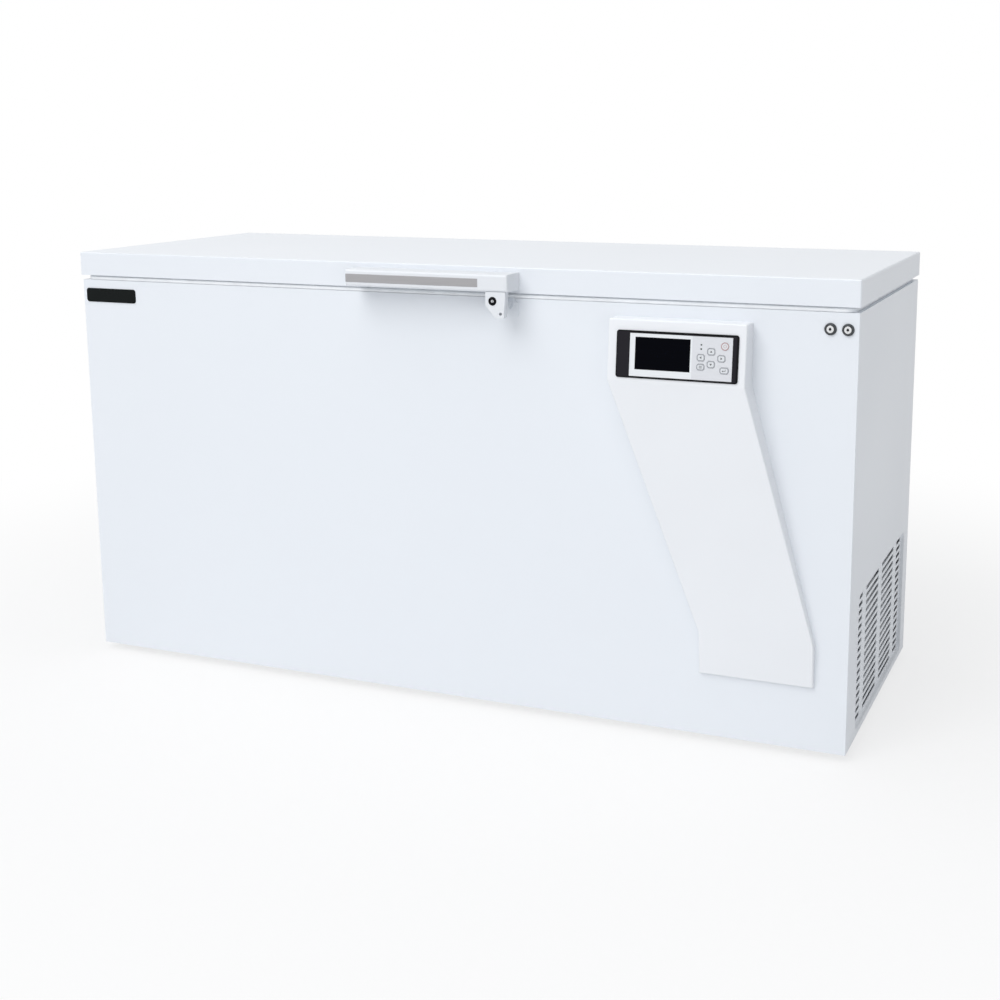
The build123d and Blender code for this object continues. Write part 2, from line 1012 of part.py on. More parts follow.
def filter_drier():
    """Copper filter drier, upright, with its drawn-in ends."""
    x = room_left + sheet + drier_radius
    z0 = z_inside + drier_lift
    body = sided_z(x, drier_y(), drier_radius, z0, z0 + drier_length)
    ends = Pos(x, drier_y(), z0 - drier_neck) * RegularPolygon(line_radius, tube_sides)
    return body + extrude(ends, amount=drier_length + 2 * drier_neck)


def line(points):
    """Tube along straight runs, each corner turned in two steps."""
    route = [Vector(*points[0])]
    for before, corner, after in zip(points, points[1:], points[2:]):
        corner = Vector(*corner)
        for neighbour in (before, after):
            away = (Vector(*neighbour) - corner).normalized()
            route.append(corner + away * line_bend)
    route.append(Vector(*points[-1]))
    path = Polyline(*route)
    start = Plane(origin=path @ 0, z_dir=path % 0)
    section = start * RegularPolygon(line_radius, tube_sides)
    return sweep(section, path=path, transition=Transition.RIGHT)


def refrigerant_lines():
    """Tubes between the compressors, the condenser, the exchanger and the drier."""
    top = z_compressor + compressor_foot + compressor_height
    top += compressor_cap_height + stub_height
    high = room_top - line_drop
    low = room_top - low_line_drop
    left = compressor_x - stub_spread
    right = compressor_x + stub_spread
    front = compressor_y(-1)
    rear = compressor_y(1)
    coil_x = condenser_x + condenser_thickness / 2
    coil_top = condenser_z + condenser_height
    vessel_top = z_inside + exchanger_height
    lines = [
        line(
            [
                (right, front, top),
                (right, front, high),
                (coil_x, front, high),
                (coil_x, front, coil_top),
            ]
        )
    ]
    for which, y in ((-1, front), (1, rear)):
        port = room_middle + which * port_spread
        near = y - which * 2 * line_bend
        lines.append(
            line(
                [
                    (left, y, top),
                    (left, y, high),
                    (exchanger_x, near, high),
                    (exchanger_x, port, high),
                    (exchanger_x, port, vessel_top),
                ]
            )
        )
    beside = rear + 2 * line_bend
    wall = room_left + sheet
    lines.append(
        line(
            [
                (right, rear, top),
                (right, rear, low),
                (right - line_bend, beside, low),
                (wall, beside, low),
            ]
        )
    )
    x = wall + drier_radius
    y = drier_y()
    drier_top = z_inside + drier_lift + drier_length + drier_neck
    lines.append(line([(coil_x, y, coil_top), (coil_x, y, low), (x, y, low), (x, y, drier_top)]))
    drier_end = z_inside + drier_lift - drier_neck
    low = drier_end - drier_tail
    side = room_middle + exchanger_depth / 2
    lines.append(
        line([(x, y, drier_end), (x, y, low), (exchanger_x, y, low), (exchanger_x, side, low)])
    )
    return lines


# Controls


def face_plane():
    """Plane of the console's face: origin at its top edge, Z outwards, Y up the face."""
    angle = math.radians(console_tilt)
    return Plane(
        origin=(0, y_front - console_top_reach, z_console),
        x_dir=(1, 0, 0),
        z_dir=(0, -math.cos(angle), math.sin(angle)),
    )


def on_face(x, drop, z0, z1, shape):
    """A flat shape drawn out from z0 to z1, centred at x and drop on the console's face."""
    return face_plane() * Pos(x, -drop, z0) * extrude(shape, amount=z1 - z0)


def console_outline():
    """Front outline of the console: upright at the display, then swept to the right."""
    return [
        (console_left, z_console),
        (console_left, z_crest),
        (console_foot_left, z_knee),
        (console_foot_left, z_console_foot),
        (console_foot_right, z_console_foot),
        (console_foot_right, z_knee),
        (console_right, z_crest),
        (console_right, z_console),
    ]


def console_form(inset):
    """The console's solid form, or its hollow when inset by the wall."""
    front = prism_y(
        console_outline(), y_front - console_crest_reach - over, y_front, grow=-inset
    )
    profile = [
        (y_front, z_console_foot + inset),
        (y_front - console_bottom_reach + inset, z_console_foot + inset),
        (y_front - console_crest_reach + inset, z_crest),
        (y_front - console_top_reach + inset, z_console - inset),
        (y_front, z_console - inset),
    ]
    return front & prism_x(profile, console_left, console_foot_right)


def console_housing():
    """Hollow wedge that carries the display unit and tapers down to the right."""
    form = console_form(0)
    front_edges = form.edges().filter_by(
        lambda e: e.center().Y < y_front - console_bottom_reach / 2 - over
    )
    form = fillet(front_edges, console_edge)
    form -= console_form(console_wall)
    opening = Rectangle(display_width - 2 * display_lip, display_height - 2 * display_lip)
    form -= on_face(display_x, display_drop, -2 * display_depth, over, opening)
    return form


def display_frame():
    """Dark frame with a rim over the console's face and a ledge for the face plate."""
    rim = RectangleRounded(display_width, display_height, display_radius)
    insert = Rectangle(
        display_width - 2 * display_lip - 2 * part_fit,
        display_height - 2 * display_lip - 2 * part_fit,
    )
    frame = on_face(display_x, display_drop, 0, display_proud, rim)
    frame += on_face(display_x, display_drop, -display_depth, 0, insert)
    floor = display_proud - plate_set_back - plate_thickness
    seat = Rectangle(plate_width, plate_height)
    frame -= on_face(plate_x, plate_drop, floor, display_proud + over, seat)
    through = Rectangle(plate_width - 2 * plate_ledge, plate_height - 2 * plate_ledge)
    frame -= on_face(plate_x, plate_drop, -display_depth - over, floor + over, through)
    return frame


def plate_top():
    """Height of the face plate's front over the console's face."""
    return display_proud - plate_set_back


def key_shape(name, grow=0):
    """Outline of a key: round for power, a square with cut corners for the rest."""
    width, height = key_places[name][2:]
    if name == "key_power":
        return RegularPolygon(width / 2 + grow, round_sides)
    outline = Rectangle(width + 2 * grow, height + 2 * grow)
    return chamfer(outline.vertices(), key_corner)


def face_plate():
    """Pale plate with the window, the key holes and the lamp holes."""
    top = plate_top()
    bottom = top - plate_thickness
    outline = Rectangle(plate_width - 2 * part_fit, plate_height - 2 * part_fit)
    plate = on_face(plate_x, plate_drop, bottom, top, outline)
    window = Rectangle(lcd_width + 2 * part_fit, lcd_height + 2 * part_fit)
    plate -= on_face(lcd_x, lcd_drop, bottom - over, top + over, window)
    for name, place in key_places.items():
        hole = key_shape(name, key_fit)
        plate -= on_face(place[0], place[1], bottom - over, top + over, hole)
    lamp = Rectangle(led_width + 2 * part_fit, led_width + 2 * part_fit)
    for drop in led_drops:
        plate -= on_face(led_x, drop, bottom - over, top + over, lamp)
    return plate


def lcd_panel():
    """Display module with its dark window, standing on the board."""
    glass = Rectangle(lcd_width, lcd_height)
    return on_face(lcd_x, lcd_drop, -display_depth, plate_top() - lcd_set_back, glass)


def status_lamps():
    """Two small lamps from the board up to the face plate."""
    top = plate_top() + led_proud
    lamp = Rectangle(led_width, led_width)
    return [on_face(led_x, drop, -display_depth, top, lamp) for drop in led_drops]


def key_top():
    """Height of the keys' fronts over the console's face."""
    return plate_top() + key_proud


def key_flange_top():
    """Height of the keys' flanges, just under the face plate."""
    return plate_top() - plate_thickness - key_flange_gap


def key(name):
    """One key: a cap through the face plate, held from below by its flange."""
    x, drop, width, height = key_places[name]
    cap = on_face(x, drop, key_flange_top(), key_top(), key_shape(name))
    flange = Rectangle(width + 2 * key_flange, height + 2 * key_flange)
    bottom = key_flange_top() - key_flange_thickness
    return cap + on_face(x, drop, bottom, key_flange_top(), flange)


def display_board():
    """Circuit board behind the frame, with one switch under each key."""
    outline = Rectangle(
        plate_width + 2 * board_margin - 2 * plate_ledge, plate_height - plate_ledge
    )
    bottom = -display_depth - board_thickness
    board = on_face(plate_x, plate_drop, bottom, -display_depth, outline)
    rest = key_flange_top() - key_flange_thickness - key_travel - switch_gap
    for x, drop, _, _ in key_places.values():
        body = Rectangle(switch_size, switch_size)
        board += on_face(x, drop, -display_depth, rest, body)
    return board


def badge_plate():
    """Bare dark plate at the upper left of the front."""
    x0 = badge_from_side - half_width
    plane = Plane(
        origin=(
            x0 + badge_width / 2,
            y_front,
            z_top - badge_from_top - badge_height / 2,
        ),
        x_dir=(1, 0, 0),
        z_dir=(0, -1, 0),
    )
    outline = RectangleRounded(badge_width, badge_height, badge_radius)
    return extrude(plane * outline, amount=badge_thickness)


def key_switch_bodies():
    """Bright collars of the two key switches, with their barrels behind the sheet."""
    bodies = []
    z = z_top - switch_drop
    for x in switch_x:
        body = sided_y(x, z, collar_radius, y_front - collar_proud, y_front)
        body += switch_barrel(x, 0, y_front, y_front + switch_barrel_length)
        bore = core_radius + core_fit
        depth = y_front - collar_proud + core_length
        body -= sided_y(x, z, bore, y_front - collar_proud - over, depth, hole=True)
        bodies.append(body)
    return bodies


def switch_core(x):
    """Key-operated core with an upright keyway."""
    z = z_top - switch_drop
    y0 = y_front - collar_proud - core_proud
    y1 = y_front - collar_proud + core_length - core_fit
    core = rod_y(x, z, core_radius, y0, y1)
    return core - block(
        x - keyway_width / 2,
        x + keyway_width / 2,
        y0 - over,
        y0 + keyway_depth,
        z - keyway_length / 2,
        z + keyway_length / 2,
    )


# Lid


def lid_skin():
    """Pressed steel lid: flat top, straight skirts and a folded lower edge."""
    skin = block(-lid_half, lid_half, y_lid, y_back, z_lid, z_lid_top)
    edges = skin.edges().filter_by(Axis.Z) + skin.edges().group_by(Axis.Z)[-1]
    skin = chamfer(edges, lid_skin_bend)
    skin -= block(
        sheet - lid_half, lid_half - sheet, y_lid + sheet, y_room_back, z_lid + sheet, z_lid_top - sheet
    )
    skin -= block(
        lid_flange - lid_half,
        lid_half - lid_flange,
        y_lid + lid_flange,
        y_back - lid_flange,
        z_lid - over,
        z_lid + sheet + over,
    )
    return skin


def plug(grow, z_high):
    """The lid's shallow plug, which hangs into the chamber's mouth."""
    gap = plug_clearance + grow
    return rounded_frame(
        chamber_right - gap,
        chamber_front + gap,
        chamber_back - gap,
        z_lid - plug_depth + grow,
        z_high,
        chamber_radius,
    )


def lid_liner():
    """Inner sheet of the lid, pressed down into the plug."""
    z0 = z_lid + sheet
    z1 = z0 + liner_thickness
    panel = block(sheet - lid_half, lid_half - sheet, y_lid + sheet, y_room_back, z0, z1)
    panel += plug(0, z0)
    return panel - plug(liner_thickness, z1 + over)


def lid_foam():
    """Insulation inside the lid and its plug."""
    z0 = z_lid + sheet + liner_thickness
    foam = block(
        sheet - lid_half, lid_half - sheet, y_lid + sheet, y_room_back, z0, z_lid_top - sheet
    )
    return foam + plug(liner_thickness, z0)


def lid_gasket():
    """Soft seal under the lid, set in from its edges."""
    inset = gasket_inset
    z0 = z_top + gasket_clearance
    outer = block(
        inset - lid_half, lid_half - inset, y_lid + inset, y_back - inset, z0, z_lid
    )
    inset += gasket_width
    inner = block(
        inset - lid_half, lid_half - inset, y_lid + inset, y_back - inset, z0 - over, z_lid + over
    )
    return outer - inner


def hinge_plate(x, z0, z1, y_face):
    """Flat leaf of one hinge, seated on the face at y_face."""
    return block(x - hinge_width / 2, x + hinge_width / 2, y_face, y_face + leaf_thickness, z0, z1)


def knuckle(x0, x1, z_leaf):
    """Rolled knuckle round the hinge axis, with the neck that joins it to its leaf."""
    neck_low, neck_high = sorted((hinge_z, z_leaf))
    roll = rod_x(hinge_y, hinge_z, knuckle_radius, x0, x1)
    neck = block(x0, x1, y_back, y_back + leaf_thickness, neck_low, neck_high)
    return roll + neck


def pin_hole(x):
    """Bore of one hinge."""
    reach = hinge_width / 2 + over
    return rod_x(hinge_y, hinge_z, pin_radius + pin_fit, x - reach, x + reach)


def hinge_body_leaves():
    """Leaves on the back panel, each with a knuckle on its left half."""
    leaves = []
    z1 = hinge_z - knuckle_radius - leaf_gap
    for x in hinge_places:
        leaf = hinge_plate(x, z_top - leaf_drop, z1, y_back)
        leaf += knuckle(x - hinge_width / 2, x - knuckle_gap / 2, z1)
        leaves.append(leaf - pin_hole(x))
    return leaves


def hinge_lid_leaves():
    """Leaves on the lid's back skirt, each with a knuckle on its right half."""
    leaves = []
    z0 = hinge_z + knuckle_radius + leaf_gap
    for x in hinge_places:
        leaf = hinge_plate(x, z0, z_lid + leaf_rise, y_back)
        leaf += knuckle(x + knuckle_gap / 2, x + hinge_width / 2, z0)
        leaves.append(leaf - pin_hole(x))
    return leaves


def hinge_pins():
    """Pins through the knuckles, one for each hinge."""
    reach = hinge_width / 2
    return [rod_x(hinge_y, hinge_z, pin_radius, x - reach, x + reach) for x in hinge_places]


def screw_heads(places, y):
    """Low six-sided heads seated on a face at y."""
    heads = []
    for x, z in places:
        plane = Plane(origin=(x, y, z), x_dir=(-1, 0, 0), z_dir=(0, 1, 0))
        heads.append(extrude(plane * RegularPolygon(screw_radius, 6), amount=screw_head))
    return heads


def panel_screws():
    """Heads of the screws that hold the hinges and the rear cover to the back."""
    places = []
    for x in hinge_places:
        for dx in (-leaf_screw_spread, leaf_screw_spread):
            for dz in (leaf_screw_margin, leaf_drop - leaf_screw_margin):
                places.append((x + dx, z_top - leaf_drop + dz))
    heads = screw_heads(places, y_back + leaf_thickness)
    margin = cover_lap / 2
    middle = (cover_left + cover_right) / 2
    places = []
    for x in (cover_left + margin, middle, cover_right - margin):
        for z in (z_cover + margin, z_cover_top - margin):
            places.append((x, z))
    return heads + screw_heads(places, y_back + cover_thickness)


def lid_screws():
    """Heads of the screws that hold the hinges to the lid."""
    places = []
    for x in hinge_places:
        for dx in (-leaf_screw_spread, leaf_screw_spread):
            places.append((x + dx, z_lid + leaf_rise - leaf_screw_margin))
    return screw_heads(places, y_back + leaf_thickness)


def power_inlet():
    """Recessed power inlet with its three pins, clipped into the rear cover."""
    z = inlet_z
    y = y_back + cover_thickness
    inlet = block(
        inlet_x - inlet_flange_width / 2,
        inlet_x + inlet_flange_width / 2,
        y,
        y + inlet_flange,
        z - inlet_flange_height / 2,
        z + inlet_flange_height / 2,
    )
    inlet = fillet(inlet.edges().filter_by(Axis.Y), inlet_corner)
    inlet += block(
        inlet_x - inlet_width / 2,
        inlet_x + inlet_width / 2,
        y - inlet_depth,
        y,
        z - inlet_height / 2,
        z + inlet_height / 2,
    )
    floor = y + inlet_flange - socket_depth
    inlet -= block(
        inlet_x - socket_width / 2,
        inlet_x + socket_width / 2,
        floor,
        y + inlet_flange + over,
        z - socket_height / 2,
        z + socket_height / 2,
    )
    for i in (-1, 0, 1):
        x = inlet_x + i * inlet_pin_pitch
        inlet += block(
            x - inlet_pin / 2,
            x + inlet_pin / 2,
            floor,
            floor + inlet_pin_length,
            z - inlet_pin,
            z + inlet_pin,
        )
    return inlet


# Handle and lock


def handle_body():
    """Bar across the lid's front, open below for the fingers, solid at the lock's end."""
    bar = block(handle_left, handle_right, y_handle, y_lid, z_bar, z_bar_top)
    front = bar.edges().group_by(Axis.Y)[0]
    bar = fillet(front, handle_edge)
    bar -= block(
        handle_left + handle_left_wall,
        grip_right,
        y_handle + handle_wall,
        y_lid + over,
        z_bar - over,
        z_bar_top - handle_top_wall,
    )
    bar -= block(
        strip_left,
        strip_right,
        y_handle - over,
        y_handle + strip_recess,
        z_strip,
        z_strip + strip_height,
    )
    return bar


def handle_strip():
    """Satin metal strip let into the bar's front."""
    y0 = y_handle + strip_recess - strip_thickness
    return block(
        strip_left + part_fit,
        strip_right - part_fit,
        y0,
        y_handle + strip_recess,
        z_strip + part_fit,
        z_strip + strip_height - part_fit,
    )


def lock_housing():
    """Tapered tongue below the bar's right end, bored for the lock and a padlock."""
    toe = z_bar - lock_toe_drop
    outline = [
        (lock_left, z_bar),
        (lock_left, z_bar - lock_shoulder_drop),
        (lock_toe_left, toe),
        (handle_right, toe),
        (handle_right, z_bar),
    ]
    tongue = prism_y(outline, y_handle, y_lock_back)
    low = tongue.edges().filter_by(Axis.Y).filter_by(lambda e: e.center().Z < z_bar - over)
    tongue = fillet(low, lock_corner)
    bore = barrel_radius + lock_fit
    tongue -= sided_y(lock_x, z_lock, bore, y_handle - over, y_lock_back + over, hole=True)
    eye = z_bar - padlock_drop
    return tongue - rod_y(padlock_x, eye, padlock_radius, y_handle - over, y_lock_back + over)


def lock_bezel():
    """Dark ring round the lock's keyway."""
    ring = sided_y(lock_x, z_lock, bezel_radius, y_handle - bezel_proud, y_handle)
    bore = barrel_radius + lock_fit
    y0 = y_handle - bezel_proud - over
    return ring - sided_y(lock_x, z_lock, bore, y0, y_handle + over, hole=True)


def lock_barrel():
    """Lock core with its keyway in front and a tail for the cam behind."""
    z = z_lock
    y0 = y_handle - barrel_proud
    core = sided_y(lock_x, z, barrel_radius, y0, y_lock_back)
    half = tail_width / 2
    core += block(
        lock_x - half, lock_x + half, y_lock_back, y_cam + cam_thickness, z - half, z + half
    )
    return core - block(
        lock_x - keyway_width / 2,
        lock_x + keyway_width / 2,
        y0 - over,
        y0 + keyway_depth,
        z - keyway_length / 2,
        z + keyway_length / 2,
    )


def lock_cam():
    """Hooked cam on the core's tail; at rest it points right, clear of the stud."""
    plane = Plane(
        origin=(lock_x, y_cam + cam_thickness, z_lock),
        x_dir=(1, 0, 0),
        z_dir=(0, -1, 0),
    )
    arm = Pos(cam_reach / 2, 0) * Rectangle(cam_reach, cam_width)
    flat = RegularPolygon(cam_hub, round_sides) + (arm & Circle(cam_reach))
    hook = Circle(cam_reach) - Circle(cam_reach - cam_hook)
    far = 2 * cam_reach
    angle = math.radians(cam_sweep)
    corner = (far * math.cos(angle), -far * math.sin(angle))
    sector = make_face(Polyline((0, 0), (far, 0), (far, corner[1]), corner, close=True))
    flat += hook & sector
    flat -= Rectangle(tail_width + tail_fit, tail_width + tail_fit)
    return extrude(plane * flat, amount=cam_thickness)


def lock_strike():
    """Plate on the front and its riveted stud, which the turned cam hooks under."""
    angle = math.radians(stud_angle)
    stud_x = lock_x + stud_from_axis * math.cos(angle)
    stud_z = z_lock + stud_from_axis * math.sin(angle)
    x0 = stud_x - strike_margin
    z1 = stud_z + strike_margin
    plate = block(
        x0, x0 + strike_width, y_front - strike_thickness, y_front, z1 - strike_height, z1
    )
    plate = chamfer(plate.edges().filter_by(Axis.Y), strike_corner)
    y0 = y_cam - stud_proud
    return [plate, sided_y(stud_x, stud_z, stud_radius, y0, y_front - strike_thickness)]


def as_solids(made):
    """One compound of separate solids, from a piece or a list of pieces."""
    pieces = made if isinstance(made, list) else [made]
    solids = []
    for piece in pieces:
        solids += piece.solids()
    return solids[0] if len(solids) == 1 else Compound(children=solids)


parts = {
    "front_panel": front_panel(),
    "left_side_panel": plain_side(-1),
    "right_side_panel": right_side_panel(),
    "rear_panel": rear_panel(),
    "rear_cover": rear_cover(),
    "base_pan": base_pan(),
    "levelling_feet": levelling_feet(),
    "top_collar": top_collar(),
    "inner_liner": inner_liner(),
    "insulation": insulation(),
    "evaporator_coil": evaporator_coil(),
    "temperature_probe": temperature_probe(),
    "machine_bulkhead": machine_bulkhead(),
    "high_stage_compressor": compressor(-1),
    "low_stage_compressor": compressor(1),
    "compressor_mounts": compressor_mounts(),
    "terminal_covers": terminal_covers(),
    "condenser_core": condenser_core(),
    "condenser_bends": condenser_bends(),
    "fan_hood": fan_hood(),
    "fan_motor": fan_motor(),
    "fan_blade": fan_blade(),
    "cascade_heat_exchanger": cascade_heat_exchanger(),
    "filter_drier": filter_drier(),
    "refrigerant_lines": refrigerant_lines(),
    "console_housing": console_housing(),
    "display_frame": display_frame(),
    "face_plate": face_plate(),
    "lcd_panel": lcd_panel(),
    "status_lamps": status_lamps(),
    "display_board": display_board(),
    "badge_plate": badge_plate(),
    "key_switch_bodies": key_switch_bodies(),
    "left_key_core": switch_core(switch_x[0]),
    "right_key_core": switch_core(switch_x[1]),
    "lock_strike": lock_strike(),
    "hinge_body_leaves": hinge_body_leaves(),
    "hinge_pins": hinge_pins(),
    "panel_screws": panel_screws(),
    "power_inlet": power_inlet(),
    "lid_skin": lid_skin(),
    "lid_foam": lid_foam(),
    "lid_liner": lid_liner(),
    "lid_gasket": lid_gasket(),
    "hinge_lid_leaves": hinge_lid_leaves(),
    "lid_screws": lid_screws(),
    "handle_body": handle_body(),
    "handle_strip": handle_strip(),
    "lock_housing": lock_housing(),
    "lock_bezel": lock_bezel(),
    "lock_barrel": lock_barrel(),
    "lock_cam": lock_cam(),
}
for key_name in key_places:
    parts[key_name] = key(key_name)

os.makedirs("parts", exist_ok=True)
for part_name, made in parts.items():
    export_step(as_solids(made), f"parts/{part_name}.step")
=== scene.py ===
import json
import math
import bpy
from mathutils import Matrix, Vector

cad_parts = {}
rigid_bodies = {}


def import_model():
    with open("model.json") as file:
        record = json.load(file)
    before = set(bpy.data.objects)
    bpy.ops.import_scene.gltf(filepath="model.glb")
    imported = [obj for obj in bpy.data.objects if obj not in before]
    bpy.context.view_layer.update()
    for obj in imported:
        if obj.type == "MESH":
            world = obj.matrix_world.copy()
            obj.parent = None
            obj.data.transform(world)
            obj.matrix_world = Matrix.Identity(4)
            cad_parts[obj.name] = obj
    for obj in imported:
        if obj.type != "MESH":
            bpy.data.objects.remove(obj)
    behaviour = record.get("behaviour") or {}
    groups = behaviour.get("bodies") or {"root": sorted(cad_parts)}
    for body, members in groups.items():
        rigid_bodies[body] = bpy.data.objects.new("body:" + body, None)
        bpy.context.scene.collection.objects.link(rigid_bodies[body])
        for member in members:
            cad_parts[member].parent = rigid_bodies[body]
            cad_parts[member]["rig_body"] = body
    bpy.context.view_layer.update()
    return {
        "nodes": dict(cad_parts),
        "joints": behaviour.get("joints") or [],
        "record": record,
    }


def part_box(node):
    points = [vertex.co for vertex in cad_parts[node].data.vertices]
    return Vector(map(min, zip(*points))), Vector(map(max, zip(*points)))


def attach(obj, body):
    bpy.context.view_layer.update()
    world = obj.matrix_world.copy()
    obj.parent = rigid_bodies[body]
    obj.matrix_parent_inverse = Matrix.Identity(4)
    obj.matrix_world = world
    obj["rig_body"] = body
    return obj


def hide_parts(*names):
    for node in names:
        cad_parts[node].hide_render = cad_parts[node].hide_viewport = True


bl_info = {
    "name": "Chest ultra low temperature freezer",
    "version": (1, 0, 0),
    "blender": (4, 5, 0),
    "location": "View3D > Sidebar > Freezer",
    "description": "Dresses the freezer's fixed frame and sets up its studio",
    "category": "Object",
}

import bmesh
import bpy
from mathutils import Matrix, Vector

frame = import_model()
NODES = frame["nodes"]

MM = 0.001
TINY = 1e-5
RIGHT = Vector((1, 0, 0))
BACK = Vector((0, 1, 0))
FRONT = Vector((0, -1, 0))
UP = Vector((0, 0, 1))

# The photograph's camera, worked out from the freezer's straight edges
CAMERA_PLACE = (1.33257, -2.86756, 1.15719)
CAMERA_YAW = 22.152
CAMERA_PITCH = 10.629
CAMERA_ROLL = 0.147
FOCAL_IN_WIDTHS = 1.4843
CENTRE_PIXEL = (565.0, 405.8)
PICTURE_SIDE = 1000
SENSOR = 36.0

# Mark on each key, and the turn of that mark in degrees
KEYS = {
    "key_up": ("arrow", 90),
    "key_down": ("arrow", -90),
    "key_left": ("arrow", 180),
    "key_right": ("arrow", 0),
    "key_menu": ("bars", 0),
    "key_enter": ("hook", 0),
    "key_power": ("power", 0),
}

# Corners of a key: how much of the square is cut off, and the softening of the cut
KEY_CUT = 3.0 * MM
KEY_SOFTENING = 3.2 * MM

# Print on the keys: its distance from the cap's edge, and how deep it reaches into the cap
PRINT_INSET = 0.3 * MM
PRINT_SINK = 0.02 * MM

# Width over which one printed or turned colour gives way to the next
SOFT_EDGE = 0.3 * MM

# Section of the seal: millimetres inwards from its outer edge, and share of its height
SEAL_SECTION = (
    (0.0, 1.00),
    (-0.6, 0.86),
    (-2.4, 0.78),
    (-4.6, 0.70),
    (-5.8, 0.58),
    (-6.0, 0.44),
    (-6.0, 0.22),
    (-5.5, 0.07),
    (-4.4, 0.00),
    (0.0, 0.00),
    (8.0, 0.00),
    (13.0, 0.00),
    (14.6, 0.12),
    (15.0, 0.32),
    (14.2, 0.52),
    (12.6, 0.68),
    (12.0, 0.82),
    (13.0, 1.00),
)
SEAL_CORNER = 17.0 * MM

# Share of the seal's bulge that its two ends have
END_BULGE = 0.1

# Lock tongue from its lower left corner: across, up and corner radius in millimetres
TONGUE_CORNERS = (
    (0.0, 50.0, 0),
    (0.0, 24.5, 4.0),
    (21.5, 0.0, 5.0),
    (37.5, 0.0, 4.5),
    (38.5, 20.0, 0),
    (40.5, 34.0, 0),
    (40.5, 50.0, 0),
)
# Width up to which it isn't cut back, its full width, and (depth, width that it keeps there)
TONGUE_BEND = 21.0
TONGUE_WIDTH = 40.5
TONGUE_DEPTHS = ((0.0, 40.5), (15.0, 40.5), (38.0, 25.0))
# Bore for the lock, and the padlock's eye: its place across, height over the foot, and radius
LOCK_BORE = 6.0 * MM
EYE_ACROSS = 0.1778
EYE_HEIGHT = 9.0 * MM
EYE_RADIUS = 3.1 * MM


# Places and flat outlines


class Seat:
    """A place with the directions across, up and outwards, on which outlines are laid."""

    def __init__(self, place, across=RIGHT, up=UP, out=FRONT):
        self.place = place
        self.across = across
        self.up = up
        self.out = out

    def laid(self, outline, level=0.0):
        """Points of a flat outline at a level over the place."""
        spot = self.place + self.out * level
        return [spot + self.across * x + self.up * y for x, y in outline]


def face_axes():
    """Across, up and outwards directions of the console's slanted face."""
    press = [joint for joint in frame["joints"] if joint["name"] == "up_key_press"][0]
    out = -Vector(press["axis"]).normalized()
    return RIGHT, out.cross(RIGHT).normalized(), out


ACROSS, RISE, OUT = face_axes()


def ends(spots):
    """Lowest and highest value of each of the three measures of some places."""
    return [(min(values), max(values)) for values in zip(*spots)]


def face_spots(node):
    """Corners of a node as places across, up and outwards on the slanted face."""
    spots = [vertex.co for vertex in NODES[node].data.vertices]
    return [(spot.dot(ACROSS), spot.dot(RISE), spot.dot(OUT)) for spot in spots]


def face_box(node):
    """Left, right, lower and upper edges of a node on the slanted face."""
    across, rise = ends(face_spots(node))[:2]
    return (*across, *rise)


def centre_of(node):
    low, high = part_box(node)
    return (low + high) / 2


def in_mm(points):
    """Flat points that are written in millimetres."""
    return [(x * MM, y * MM) for x, y in points]


def rounded(width, height, radius, steps=6):
    """Points of a rectangle with round corners, anticlockwise."""
    points = []
    radius = min(radius, width / 2 - TINY, height / 2 - TINY)
    corners = ((1, 1, 0), (-1, 1, 90), (-1, -1, 180), (1, -1, 270))
    for sx, sy, start in corners:
        cx = sx * (width / 2 - radius)
        cy = sy * (height / 2 - radius)
        for i in range(steps + 1):
            angle = math.radians(start + 90 * i / steps)
            points.append((cx + radius * math.cos(angle), cy + radius * math.sin(angle)))
    return points


def round_corners(corners, steps=5):
    """Points of a polygon, anticlockwise; each corner is (x, y, radius)."""
    spots = [Vector(corner[:2]) for corner in corners]
    points = []
    for i, here in enumerate(spots):
        radius = corners[i][2]
        if not radius:
            points.append(tuple(here))
            continue
        before = (spots[i - 1] - here).normalized()
        after = (spots[(i + 1) % len(spots)] - here).normalized()
        half = before.angle(after) / 2
        centre = here + (before + after).normalized() * radius / math.sin(half)
        first = here + before * radius / math.tan(half) - centre
        last = here + after * radius / math.tan(half) - centre
        sweep = math.pi - 2 * half
        for k in range(steps + 1):
            share = k / steps
            arm = first * math.sin((1 - share) * sweep) + last * math.sin(share * sweep)
            points.append(tuple(centre + arm / math.sin(sweep)))
    return points


# Node trees


# Places of the colour sockets of a Mix node
FIRST_COLOUR = 6
SECOND_COLOUR = 7
MIXED_COLOUR = 2


